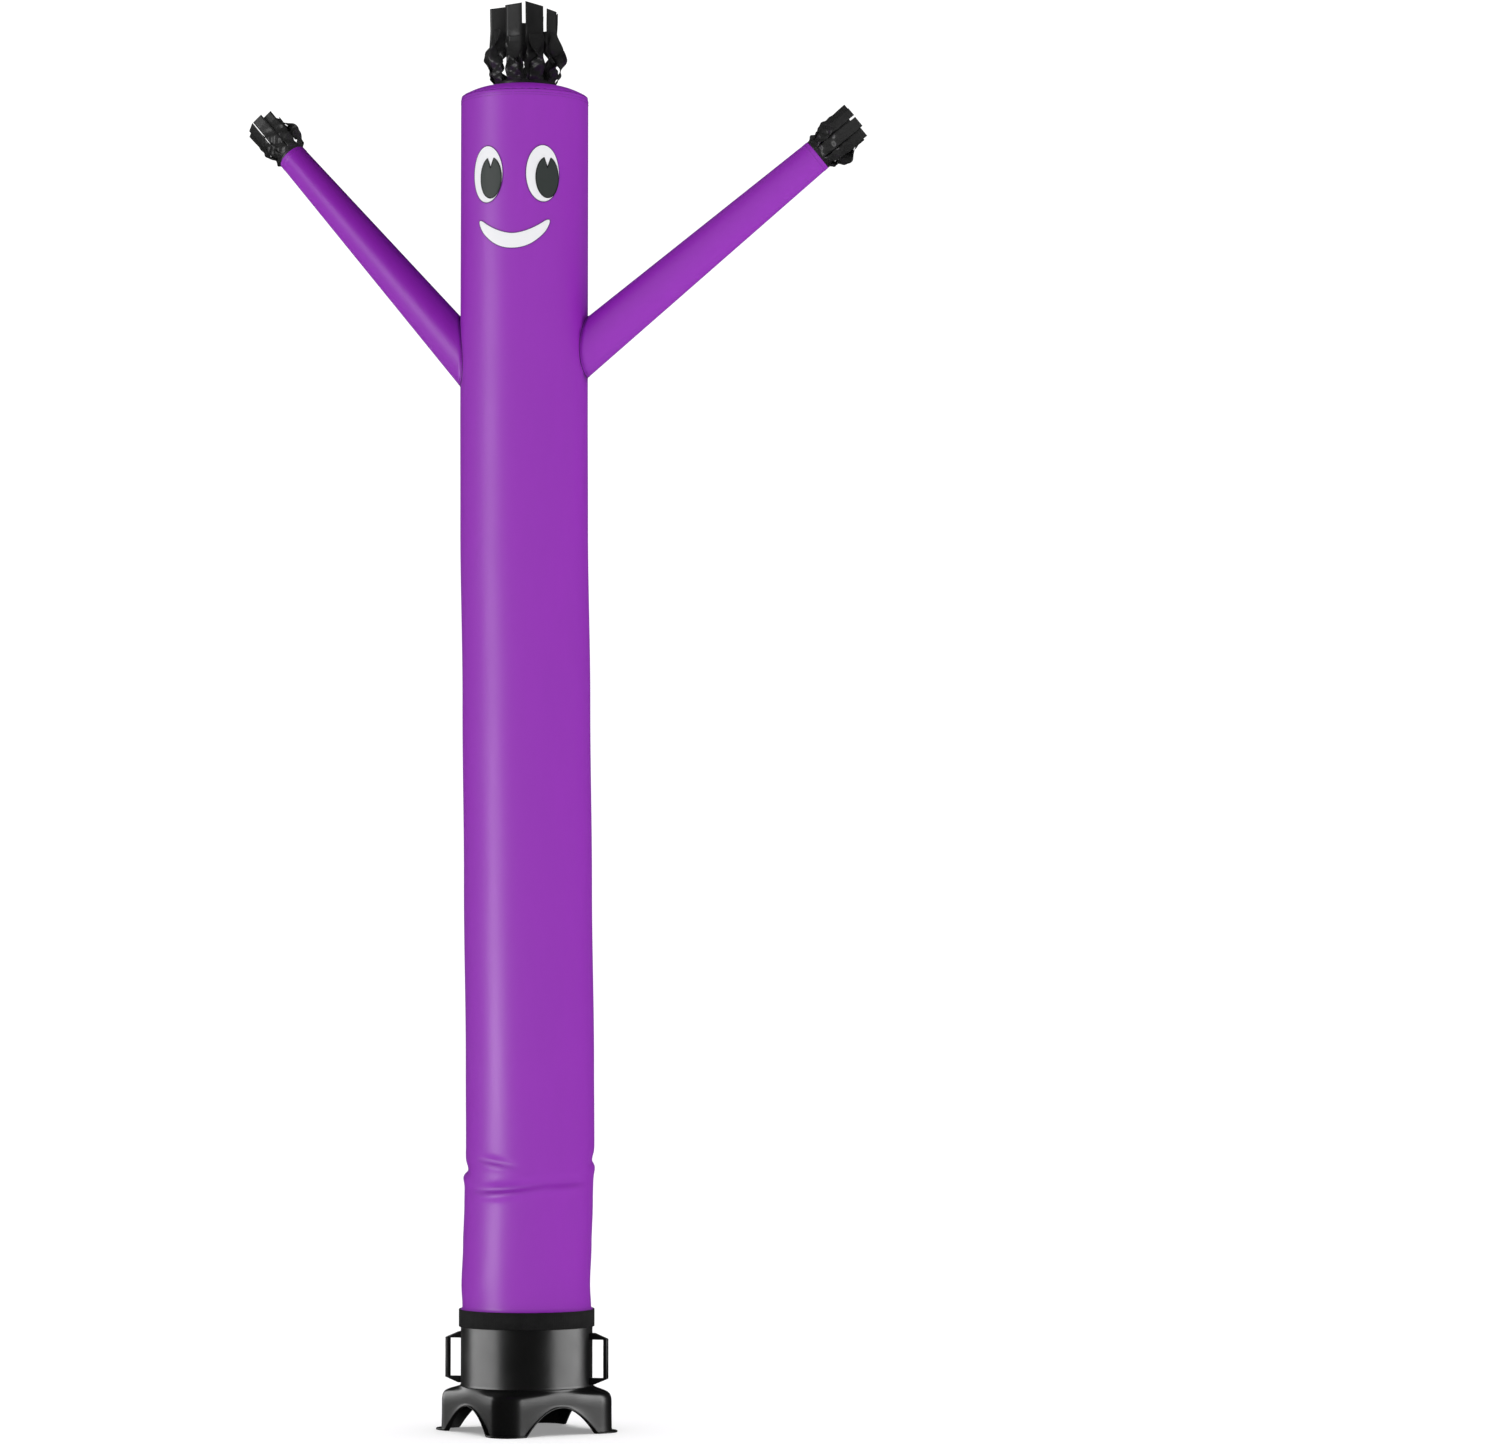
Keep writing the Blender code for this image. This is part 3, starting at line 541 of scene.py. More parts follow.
def makeHead():
    radii = spread([(head["vent"], 0.130, 0.005), (0.130, 0.148, 0.0025), (0.148, tube["radius"], 0.0008)])
    shift = leaning(tube["seam"])
    rings = []
    for under in (False, True):  # out over the top, and back in underneath
        for r in (reversed(radii) if under else radii):
            edge = exp(-((tube["radius"] - r) / head["puckerWidth"]) ** 2)
            tuck = tube["seamDip"] * exp(-((tube["radius"] - r) / head["tuckWidth"]) ** 2)
            ring = []
            for k in range(head["sides"]):
                wave = head["pucker"] * edge * (1 + cos(head["puckers"] * 2 * pi * k / head["sides"]))
                lift = wave + (0 if under else head["thickness"])
                ring.append(around(360 * k / head["sides"], r - tuck, domeHeight(r) + lift) + shift)
            rings.append(ring)
    cap = put(loft("headPanel", rings, "head", closed=True), "purple_cloth", "head_cap")


# The arms, trimmed where they meet the tube
sleeve = dict(sides=72, thickness=0.0010, hem=0.013, hemRise=0.0004, hemStep=0.001, rootLow=-0.085,
              rootHigh=0.10, seamAllowance=0.05, stitchIn=1.002, stitchUp=0.006, tipStitch=0.002)
sleeveRows = [(0.0, 0.003, 0.001), (0.003, 0.016, 0.0065), (0.016, 0.022, 0.0015), (0.022, 1.0, 0.0245)]
welt = dict(sides=6, radius=0.0011)  # the thin roll of cloth where a seam's allowance is turned in


def sleevePoint(arm, distance, angle):
    radius = arm["rootRadius"] + (arm["tipRadius"] - arm["rootRadius"]) * distance / arm["length"]
    radius += sleeve["hemRise"] * ease((distance - arm["length"] + sleeve["hem"]) / sleeve["hemStep"])
    return Vector((radius * cos(angle), radius * sin(angle), distance))


def rootOf(arm, place, angle):  # how far along the arm a line on it leaves the tube
    low, high = sleeve["rootLow"], sleeve["rootHigh"]
    for halving in range(30):
        middle = (low + high) / 2
        p = place @ sleevePoint(arm, middle, angle)
        across = p.x - lean(p.z)
        if hypot(across, p.y) < tubeRadiusAt(degrees(atan2(across, -p.y)), p.z) + gap:
            low = middle
        else:
            high = middle
    return high


def makeWelt(name, path, outward):  # the path is closed
    count = len(path) - 1
    points = []
    for k in range(count):
        along = (path[(k + 1) % count] - path[k - 1]).normalized()
        up = outward[k]
        across = along.cross(up).normalized()
        for s in range(welt["sides"]):
            turn = 2 * pi * s / welt["sides"]
            points.append(path[k] + (up * cos(turn) + across * sin(turn)) * welt["radius"])
    faces = stripOfFaces(count, welt["sides"], True)
    put(meshPiece(name, points, faces, "purpleThread"), "purple_cloth")


def makeArm(side):
    arm, name = arms[side], side.capitalize()
    place, length = armFrame(arm), arm["length"]
    angles = [2 * pi * k / sleeve["sides"] for k in range(sleeve["sides"])]
    roots = [rootOf(arm, place, a) for a in angles]
    rings = [[sleevePoint(arm, length + (root - length) * share, a) for a, root in zip(angles, roots)]
             for share in spread(sleeveRows)]
    cloth = thicken(loft("armCloth" + name, rings, "arm", place=axisPlace @ place), sleeve["thickness"])
    put(cloth, "purple_cloth", "arm_" + side)

    def outwards(ring):
        return [(place.to_3x3() @ Vector((p.x, p.y, 0))).normalized() for p in ring]

    seam = rings[-1] + rings[-1][:1]
    makeWelt("armSeam" + name, [place @ p for p in seam], outwards(seam))
    proud, up = sleeve["stitchIn"], sleeve["stitchUp"]
    inner = [place @ Vector((p.x * proud, p.y * proud, p.z + up)) for p in seam]
    stitches("armStitches" + name, inner, outwards(seam))
    hemTop = length - (sleeve["hem"] - sleeve["tipStitch"]) + sleeve["hemStep"]
    hem = [sleevePoint(arm, hemTop, a) for a in angles + angles[:1]]
    stitches("handStitches" + name, [place @ p for p in hem], outwards(hem))


# Cloth strips round the vents: angles in degrees, and how much higher a slanted end's right side is
stripColumns = "azimuth length bulge at turn lean width cut"
innerHair = table(
    stripColumns,
    (-12, 0.187, 0.001, 0.45, 0, -2, 0.043, 0.09),
    (31, 0.190, 0.002, 0.40, 0, -4, 0.046, -0.19),
    (77, 0.179, 0.001, 0.40, 20, -3, 0.035, -0.10),
    (122, 0.176, 0.002, 0.50, 0, 3, 0.035, 0),
    (167, 0.178, 0.001, 0.45, 0, -3, 0.034, 0),
    (212, 0.177, 0.002, 0.40, 0, 4, 0.035, 0),
    (257, 0.180, 0.001, 0.50, 0, -3, 0.034, 0),
    (302, 0.184, 0.003, 0.35, -64, 2, 0.040, 0.13))
outerHair = table(
    stripColumns,
    (30, 0.112, 0.010, 0.46, 180, -3, 0.034, 0),
    (70, 0.122, 0.012, 0.50, -180, 2, 0.035, 0),
    (110, 0.174, 0.014, 0.32, 180, -2, 0.032, 0),
    (150, 0.142, 0.018, 0.42, -180, 3, 0.034, 0),
    (190, 0.166, 0.016, 0.34, 180, -3, 0.034, 0),
    (230, 0.150, 0.017, 0.44, -180, 2, 0.034, 0),
    (270, 0.170, 0.010, 0.36, 180, 3, 0.032, 0),
    (310, 0.126, 0.006, 0.50, -180, -2, 0.035, 0),
    (350, 0.106, 0.009, 0.44, 180, 3, 0.034, 0))
handStrips = table(
    stripColumns,
    (0, 0.096, 0.013, 0.44, 180, 3, 0.024, 0),
    (40, 0.104, 0.011, 0.36, 180, -4, 0.025, 0),
    (80, 0.112, 0.006, 0.50, 0, 3, 0.026, 0),
    (120, 0.108, 0.005, 0.42, 0, -3, 0.026, 0),
    (160, 0.117, 0.004, 0.46, 0, -4, 0.027, 0),
    (200, 0.120, 0.005, 0.34, -40, 4, 0.028, 0),
    (240, 0.121, 0.003, 0.48, 0, -2, 0.028, 0),
    (280, 0.120, 0.004, 0.40, 0, 3, 0.028, 0),
    (320, 0.114, 0.007, 0.40, 40, 2, 0.026, 0))
ribbon = dict(thickness=0.0008, across=6, along=60, ripple=0.16, ripples=5, splay=0.004, slide=0.3,
              crumple=0.0044, crumpleWidth=0.036, overlap=0.0015)
# waves of the crumples: their share, waves along and across a strip, and shift from strip to strip
crumpleWaves = ((1.0, 3.1, 0.55, 1.7), (0.45, 5.7, -0.9, 2.9))
hairRing = dict(inner=0.0650, outer=0.0750, height=0.010, innerRow=0.0665, outerRow=0.0735, seat=0.0012)
handRing = dict(wall=0.003, height=0.007)
ringShape = dict(sides=72, soft=0.0004)


def ribbonPoints(row, azimuth, radius, number):
    middle, sideways = around(azimuth, 1, 0), around(azimuth + 90, 1, 0)
    points = []
    for j in range(ribbon["along"] + 1):
        t = j / ribbon["along"]
        hump = sin(pi * min(1.0, t / (2 * row["at"])))
        ripple = ribbon["ripple"] * row["bulge"] * sin(ribbon["ripples"] * pi * t) * (1 - t)
        out = radius + row["bulge"] * hump + ripple + ribbon["splay"] * t
        angle = radians(row["turn"]) * ease((t - 0.10) / (2 * row["at"] - 0.14))  # turns above its root
        slide = sin(radians(row["lean"])) * row["length"] * t * ribbon["slide"]
        soft = ease(t / 0.08) * ease((0.72 - t) / 0.35)  # no crumple at the root or near the free end
        for i in range(ribbon["across"] + 1):
            share = i / ribbon["across"] - 0.5
            across = share * row["width"]
            crease = sum(tall * sin(2 * pi * (long * t + wide * share) + shift * number)
                         for tall, long, wide, shift in crumpleWaves)
            push = ribbon["crumple"] * row["width"] / ribbon["crumpleWidth"] * soft * crease
            p = middle * (out + across * sin(angle) + push * cos(angle))
            p += sideways * (across * cos(angle) + slide - push * sin(angle))
            shorter = row["width"] * (abs(row["cut"]) / 2 - row["cut"] * share)
            p.z = t * (row["length"] - shorter) - ribbon["overlap"]
            points.append(p)
    return points


def makeStrips(name, rows, inner, outer, ringHeight, place, node):
    points, faces = [], []
    wide = ribbon["across"] + 1
    for number, (row, turn, radius) in enumerate(rows):
        first = len(points)
        points += ribbonPoints(row, row["azimuth"] + turn, radius, number)
        for j in range(ribbon["along"]):
            for i in range(ribbon["across"]):
                a = first + j * wide + i
                faces.append((a, a + 1, a + wide + 1, a + wide))
    strips = thicken(meshPiece(name, points, faces, "hair", axisPlace @ place), ribbon["thickness"], 0.0)
    soft = ringShape["soft"]
    profile = [(outer - soft, 0), (outer, -soft), (outer, soft - ringHeight), (outer - soft, -ringHeight),
               (inner + soft, -ringHeight), (inner, soft - ringHeight), (inner, -soft), (inner + soft, 0)]
    ring = turned(name + "Ring", profile, "hair", ringShape["sides"])
    ring.matrix_world = axisPlace @ place
    bundle = put(joined(name, [strips, ring]), "black_cloth", node)


def makeHair():
    bottom = domeHeight(head["ring"]) + hairRing["seat"] + gap
    place = Matrix.Translation((lean(tube["seam"]), 0, bottom + hairRing["height"]))
    rows = [(row, 0, hairRing["innerRow"]) for row in innerHair]
    rows += [(row, 0, hairRing["outerRow"]) for row in outerHair]
    makeStrips("hairStrips", rows, hairRing["inner"], hairRing["outer"], hairRing["height"], place,
               "hair_top")
    wall, height = handRing["wall"], handRing["height"]
    for side, arm in arms.items():
        outer, name = arm["tipRadius"], side.capitalize()
        place = armFrame(arm) @ Matrix.Translation((0, 0, arm["length"] + gap + height))
        rows = [(row, arm["stripTurn"], outer - wall / 2) for row in handStrips]
        makeStrips("handStrips" + name, rows, outer - wall, outer, height, place, "hair_" + side)


# The face: patches sewn on with a close satin stitch
face = dict(eyeArc=0.0697, eyeHeight=2.994, eyeHalfWidth=0.042, eyeHalfHeight=0.0685, pupilShift=0.0105,
            pupilDrop=0.009, pupilHalfWidth=0.0285, pupilHalfHeight=0.0490, notchHalfWidth=0.0085,
            notchDepth=0.026, mouthHalf=0.0910, mouthCentre=-0.0033, mouthBottom=2.8139, mouthInner=2.8506,
            lowerRise=0.055, upperRise=0.041, lowerPower=2.2, upperPower=1.75, mouthRound=0.83,
            mouthEnd=0.997, thickness=0.001, rim=0.0002, soft=0.0024, rows=16, ovalEnd=4)
satin = dict(width=0.0024, rise=0.0005, pitch=0.0011, lift=0.0004, sides=8, bulges=(0.86, 1.0, 0.93))


def onTube(arc, height, layer, lift):
    radius = tube["radius"] + gap + layer * (face["thickness"] + gap) + lift
    return around(degrees(arc / tube["radius"]), radius, height) + leaning(face["eyeHeight"])


def patch(name, columns, layer, finish, slot, node, thread):
    rows = face["rows"]
    outline = [Vector((arc, low)) for arc, low, high in columns]
    outline += [Vector((arc, high)) for arc, low, high in reversed(columns)]
    closed = outline + outline[:1]

    def inset(point):  # how far a point stands in from the outline
        nearest = 1.0
        for a, b in zip(closed, closed[1:]):
            side = b - a
            share = max(0.0, min(1.0, (point - a).dot(side) / max(side.length_squared, 1e-12)))
            nearest = min(nearest, (a + side * share - point).length)
        return nearest

    top, bottom, area = [], [], 0.0
    for arc, low, high in columns:
        for j in range(rows + 1):
            share = ease(j / rows) * 0.5 + 0.5 * j / rows
            point = Vector((arc, low + (high - low) * share))
            lift = face["rim"] + (face["thickness"] - face["rim"]) * ease(inset(point) / face["soft"])
            top.append(onTube(point.x, point.y, layer, lift))
            bottom.append(onTube(point.x, point.y, layer, 0))
    for (a, lowA, highA), (b, lowB, highB) in zip(columns, columns[1:]):
        area += (b - a) * (highA - lowA + highB - lowB) / 2
    wide, count, total = rows + 1, len(columns), len(top)
    faces = [f[1:] + f[:1] for f in stripOfFaces(count, wide, False, False)]
    faces += [tuple(total + v for v in reversed(f)) for f in faces]
    rim = [k * wide for k in range(count)] + [(count - 1) * wide + j for j in range(1, wide)]
    rim += [k * wide + rows for k in reversed(range(count - 1))] + [j for j in reversed(range(1, rows))]
    for a, b in zip(rim, rim[1:] + rim[:1]):
        faces.append((a, b, total + b, total + a))
    made = put(meshPiece(name, top + bottom, faces, finish), slot, node)
    satinEdge(name + "Edge", closed, layer, thread, slot)


def satinEdge(name, closed, layer, finish, slot):
    step = satin["pitch"] / len(satin["bulges"])
    path, left = [], 0.0
    for a, b in zip(closed, closed[1:]):
        length = (b - a).length
        while left < length:
            path.append(a.lerp(b, left / max(length, 1e-9)))
            left += step
        left -= length
    count, points = len(path), []
    for k in range(count):
        along = (path[(k + 2) % count] - path[k - 2]).normalized()
        across = Vector((-along.y, along.x))
        bulge = satin["bulges"][k % len(satin["bulges"])]
        for s in range(satin["sides"]):
            turn = 2 * pi * s / satin["sides"]
            p = path[k] + across * (cos(turn) * satin["width"] / 2 * bulge)
            lift = satin["lift"] + sin(turn) * satin["rise"] * bulge
            points.append(onTube(p.x, p.y, layer, lift))
    put(meshPiece(name, points, stripOfFaces(count, satin["sides"], True), finish), slot)


def oval(arc, height, halfWidth, halfHeight, steps):
    ends = face["ovalEnd"]  # degrees left off, so that the end columns have some height
    columns = []
    for k in range(steps + 1):
        angle = radians(ends + (180 - 2 * ends) * k / steps)
        reach = halfHeight * sin(angle)
        columns.append((arc - halfWidth * cos(angle), height - reach, height + reach))
    return columns


def makeEye(side, arc):
    name, height = side.capitalize(), face["eyeHeight"]
    white = oval(arc, height, face["eyeHalfWidth"], face["eyeHalfHeight"], 48)
    patch("eyeWhite" + name, white, 0, "white", "white_cloth", "eye_white_" + side, "purpleThread")
    middle, height = arc + face["pupilShift"], height - face["pupilDrop"]
    pupil = []
    for across, low, high in oval(middle, height, face["pupilHalfWidth"], face["pupilHalfHeight"], 60):
        dip = face["notchDepth"] * max(0.0, 1 - abs(across - middle) / face["notchHalfWidth"])
        pupil.append((across, low, high - dip))
    patch("pupil" + name, pupil, 1, "grey", "grey_cloth", "pupil_" + side, "darkThread")


def makeMouth():
    columns, steps = [], 72
    for k in range(steps + 1):
        share = face["mouthEnd"] * sin(pi / 2 * (2 * k / steps - 1))
        low = face["mouthBottom"] + face["lowerRise"] * abs(share) ** face["lowerPower"]
        high = face["mouthInner"] + face["upperRise"] * abs(share) ** face["upperPower"]
        end = max(0.0, (abs(share) - face["mouthRound"]) / (1 - face["mouthRound"]))
        middle, half = (low + high) / 2, (high - low) / 2 * sqrt(1 - end * end)
        columns.append((face["mouthCentre"] + face["mouthHalf"] * share, middle - half, middle + half))
    patch("mouthPatch", columns, 0, "white", "white_cloth", "mouth", "purpleThread")


makeTube()
makeHead()
makeArm("right")
makeArm("left")
makeHair()
makeEye("left", -face["eyeArc"])
makeEye("right", face["eyeArc"])
makeMouth()
print("cloth sewn")


# The blower's drum, tape and strap
drum = dict(radius=0.157, wall=0.003, bottom=0.1083, top=0.2790, edge=0.0008, sides=240, sharp=40)
drumFoot = [(0, 0.0050), (0.0002, 0.0034), (0.0007, 0.0018), (0.0011, 0.0007), (0.0011, 0)]  # out and up
strap = dict(inner=0.1603, thickness=0.0015, bottom=0.2485, top=0.2895, soft=0.0005, sides=240, sharp=50)
tape = dict(inner=0.1573, thickness=0.0012, bottom=0.2495, top=0.2785, soft=0.0003, sides=180, sharp=50)


def makeDrum():
    r, wall, low, high = drum["radius"], drum["wall"], drum["bottom"], drum["top"]
    profile = [(r - drum["edge"], high), (r, high - drum["edge"])]
    profile += [(r + out, low + up) for out, up in drumFoot] + [(r - wall, low), (r - wall, high)]
    put(turned("drumHousing", profile, "plastic", drum["sides"], drum["sharp"]), "black_plastic", "drum")


def makeBand(name, band, node):
    inner, low, high, soft = band["inner"], band["bottom"], band["top"], band["soft"]
    outer = inner + band["thickness"]
    profile = [(outer - soft, high), (outer, high - soft), (outer, low + soft), (outer - soft, low),
               (inner, low), (inner, high)]
    return put(turned(name, profile, "tape", band["sides"], band["sharp"]), "black_tape", node)


def makeStrap():
    band = makeBand("neckStrapWeb", strap, "neck_strap")
    hooks = makeBand("hookTapeWeb", tape, "hook_tape")


# The stand: a round deck that flows over a shoulder into four arched feet
stand = dict(height=0.108, half=0.162, corner=0.053, wall=0.0035, frontLeg=-5.3, archHalf=0.094,
             archHeight=0.064, flange=0.0135, lip=0.003, flangeThickness=0.004, deckInset=0.017,
             hole=0.0025, holeOut=0.0080, edge=0.0008, toe=0.001, toeEdge=0.0014, toeRise=0.0003,
             flatSteps=64, cornerSteps=24, sharp=32)
# down from the deck: drop, share of the way from the drum's circle to the rounded square, and how far out
shoulder = [(0.0000, 0.00, 0.0015), (0.0015, 0.10, 0.0005), (0.0050, 0.32, 0.0000), (0.0090, 0.60, 0.0000),
            (0.0145, 0.84, 0.0000), (0.0230, 0.96, 0.0000), (0.0340, 1.00, 0.0000)]
underside = [(0.0370, 1.00), (0.0260, 0.94), (0.0140, 0.62), (0.0080, 0.20)]
outerRows, innerRows = (0.2, 0.4, 0.6, 0.8, 0.93), (0.25, 0.5, 0.75)  # shares of the wall's height


def squareRadius(azimuth):  # from the axis to the rounded square, at an azimuth from a leg
    angle = abs(radians(azimuth % 90 - 45))
    flat = stand["half"] - stand["corner"]
    if stand["half"] * sin(angle) / cos(angle) <= flat:
        return stand["half"] / cos(angle)
    middle = flat * (cos(angle) + sin(angle))
    return middle + sqrt(middle * middle - 2 * flat * flat + stand["corner"] ** 2)


def standColumns():  # azimuth from the front leg, and the lower edge's height there
    flat, corner = stand["half"] - stand["corner"], stand["corner"]
    columns = []
    for quarter in range(4):
        turn = 90 * quarter + 45
        for k in range(stand["flatSteps"]):
            u = -flat + 2 * flat * k / stand["flatSteps"]
            low = stand["archHeight"] * max(0.0, 1 - (u / stand["archHalf"]) ** 2)
            columns.append((turn + degrees(atan2(u, stand["half"])), low))
        for k in range(stand["cornerSteps"]):
            angle = radians(90 * k / stand["cornerSteps"])
            x, y = flat + corner * cos(angle), flat + corner * sin(angle)
            columns.append((turn + degrees(atan2(y, x)), 0.0))
    return columns


def smoothRows(rows, steps):  # a smooth curve through rows of numbers
    found = []
    for k in range(len(rows) - 1):
        before, a, b, after = rows[max(k - 1, 0)], rows[k], rows[k + 1], rows[min(k + 2, len(rows) - 1)]
        for s in range(steps):
            t = s / steps
            found.append(tuple(0.5 * (2 * q + (r - p) * t + (2 * p - 5 * q + 4 * r - w) * t * t
                                      + (3 * q - p - 3 * r + w) * t ** 3)
                               for p, q, r, w in zip(before, a, b, after)))
    return found + [rows[-1]]


def makeStand():
    columns = standColumns()
    top, thick, edge, toe = (stand[key] for key in ("height", "flangeThickness", "edge", "toe"))
    rings = []

    def addRing(blend, heightOf, growOf):  # each is called with a column's lower edge or its azimuth
        found = []
        for azimuth, low in columns:
            radius = drum["radius"] * (1 - blend) + squareRadius(azimuth) * blend
            found.append(around(azimuth + stand["frontLeg"], radius + growOf(azimuth), heightOf(low)))
        rings.append(found)

    def deck(azimuth):
        return -stand["deckInset"]

    def inside(azimuth):
        return -stand["wall"]

    def reach(azimuth):  # a lip all round, widened to a flange at each foot
        away = min(azimuth % 90, 90 - azimuth % 90)
        widening = max(0.0, cos(radians(2 * away))) ** 6
        return toe + stand["lip"] + (stand["flange"] - stand["lip"]) * widening

    addRing(0, lambda low: top, deck)
    for drop, blend, grow in smoothRows(shoulder, 4):
        addRing(blend, lambda low: top - drop, lambda a: grow)
    wallTop = top - shoulder[-1][0]
    for share in outerRows:
        addRing(1, lambda low: wallTop + (low + thick - wallTop) * share, lambda a: toe * share ** 4)
    addRing(1, lambda low: low + thick + stand["toeRise"], lambda a: toe)
    addRing(1, lambda low: low + thick, lambda a: stand["toeEdge"])
    addRing(1, lambda low: low + thick, lambda a: reach(a) - edge)
    addRing(1, lambda low: low + thick - edge, reach)
    addRing(1, lambda low: low + edge, reach)
    addRing(1, lambda low: low, lambda a: reach(a) - edge)
    addRing(1, lambda low: low, inside)
    insideTop = top - underside[0][0]
    for share in innerRows:
        addRing(1, lambda low: low + (insideTop - low) * share, inside)
    for drop, blend in smoothRows(underside, 3):
        addRing(blend, lambda low: top - drop, inside)
    addRing(0, lambda low: top - stand["wall"], deck)
    base = loft("footedStand", rings, "plastic", closed=True)
    drills = []
    for k in range(4):
        spot = around(stand["frontLeg"] + 90 * k, squareRadius(0) + stand["holeOut"], 0)
        drills.append(post("footDrill", 20, stand["hole"], -0.01, 0.01, axisPlace @ Matrix.Translation(spot)))
    cutBy(base, drills)
    smoothed(base.data, stand["sharp"])
    put(base, "black_plastic", "base_stand")


# The carrying handles, channelled along their outer side
handle = dict(top=0.2335, bottom=0.112, root=0.1567, reach=0.1985, width=0.020, bar=0.0085, arm=0.0150,
              chamfer=0.0135, straight=0.010, edge=0.00072, slotWidth=0.0085, slotDepth=0.0022,
              slotStart=0.003, slotRim=0.0012, slotSlope=0.55, slotOut=0.004, sharp=30)


def prism(name, outline, thickness, place):
    count = len(outline)
    points = [(x, y, z) for z in (thickness / 2, -thickness / 2) for x, y in outline]
    faces = [tuple(range(count)), tuple(count + k for k in reversed(range(count)))]
    faces += [(k, count + k, count + (k + 1) % count, (k + 1) % count) for k in range(count)]
    return meshPiece(name, points, faces, "plastic", place)


def makeHandle(name, azimuth, node):
    root, reach, bottom, top, arm = (handle[key] for key in ("root", "reach", "bottom", "top", "arm"))
    start, inside = root + handle["straight"], reach - handle["bar"]
    low, high = bottom + handle["chamfer"], top - handle["chamfer"]
    outline = [(root, bottom), (start, bottom), (reach, low), (reach, high), (start, top), (root, top),
               (root, top - arm), (inside, top - arm), (inside, bottom + arm), (root, bottom + arm)]
    out, up = around(azimuth, 1, 0), Vector((0, 0, 1))
    place = axisPlace @ Matrix((out, up, out.cross(up))).transposed().to_4x4()
    grip = prism(name, outline, handle["width"], place)
    far, deep, rim = handle["slotOut"], handle["slotDepth"], handle["slotRim"]
    slotStart, slope = start + handle["slotStart"], deep * handle["slotSlope"]
    slot = [(slotStart, top - rim - deep), (reach - deep, high - slope), (reach - deep, low + slope),
            (slotStart, bottom + rim + deep), (slotStart, bottom - far), (reach + far, bottom - far),
            (reach + far, top + far), (slotStart, top + far)]
    cutBy(grip, [prism("slot", slot, handle["slotWidth"], place)])
    soften = grip.modifiers.new("edges", "BEVEL")
    soften.width = handle["edge"]
    soften.segments = 3
    soften.limit_method = "ANGLE"
    soften.angle_limit = radians(25)
    settle(grip)
    smoothed(grip.data, handle["sharp"])
    put(grip, "black_plastic", node)


makeDrum()
makeStrap()
makeStand()
makeHandle("gripRight", stand["frontLeg"] + 90, "handle_right")
makeHandle("gripLeft", stand["frontLeg"] - 90, "handle_left")
print("blower built")


# Rows of stitching, round the head's seam and up the tube's back
headSeam = dict(heights=(3.1895, 3.1835), sides=144)
backSeam = dict(azimuths=(179.0, 181.0), low=0.296, high=3.180, steps=400, proud=0.0001)


def stitchSeams():
    azimuths = [360 * k / headSeam["sides"] for k in range(headSeam["sides"] + 1)]
    for number, height in enumerate(headSeam["heights"]):
        path = [around(a, tube["radius"], height) + leaning(height) for a in azimuths]
        stitches("headStitches" + str(number + 1), path, [around(a, 1, 0) for a in azimuths])
    low, high, steps = backSeam["low"], backSeam["high"], backSeam["steps"]
    heights = [low + (high - low) * k / steps for k in range(steps + 1)]
    for number, azimuth in enumerate(backSeam["azimuths"]):
        path = [tubePoint(azimuth, z, backSeam["proud"]) for z in heights]
        stitches("backStitches" + str(number + 1), path, [around(azimuth, 1, 0)] * len(path))


stitchSeams()
print("seams stitched")

# The carried-over nodes inside the cloth get finishes of their own
plasticNodes = ("rim_ring", "grille_hub")  # the grille and the screws are metal
for node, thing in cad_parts.items():
    if not thing.hide_render:
        thing.data.materials.clear()
        thing.data.materials.append(finishes["plastic" if node in plasticNodes else "wire"])
print("carried-over nodes finished")


# The studio: a pale floor, a pale world, even fills and softboxes
studio = dict(floor=60.0, backdrop=1.10, sides=0.16, ceiling=0.03, gloss=0.012, fadeFrom=0.10,
              fadeTo=0.75, floorSoft=2.0, floorPlain=1.7, cloth=2.15, arm=1.40, head=0.7)
# degrees from the camera's side, metres, and watts
boxTable = table(
    "name turn distance height tilt wide tall power",
    ("stripLight", -62, 3.0, 1.8, 0, 0.9, 4.4, 60),
    ("stripLow", -62, 3.0, 0.5, 0, 0.9, 0.9, 20),
    ("sideLeft", -80, 2.0, 0.55, 0, 2.3, 1.3, 64),
    ("sideRight", 76, 2.0, 0.55, 0, 2.3, 1.3, 64),
    ("standLeft", -128, 2.0, 0.55, 0, 1.0, 1.3, 15),
    ("standRight", 69, 2.0, 0.55, 0, 1.1, 1.3, 34),
    ("overhead", 10, 1.2, 2.2, 55, 1.4, 0.8, 22))


def addLight(name, kind, power, lit):  # a lamp that reaches only the things in lit
    data = bpy.data.lights.new(name, kind)
    data.energy = power
    lamp = bpy.data.objects.new(name, data)
    bpy.context.scene.collection.objects.link(lamp)
    group = bpy.data.collections.new(name + "Lit")
    for thing in lit:
        group.objects.link(thing)
    lamp.light_linking.receiver_collection = group
    return lamp


def fillLight(name, azimuth, elevation, power, softness, lit, shadow=True):
    fill = addLight(name, "SUN", power, lit)
    fill.data.angle, fill.data.use_shadow = radians(softness), shadow
    toward = around(azimuth, cos(radians(elevation)), sin(radians(elevation)))
    fill.rotation_euler = toward.to_track_quat("Z", "Y").to_euler()
    fill.visible_glossy = False  # it only lights, and shows no highlight


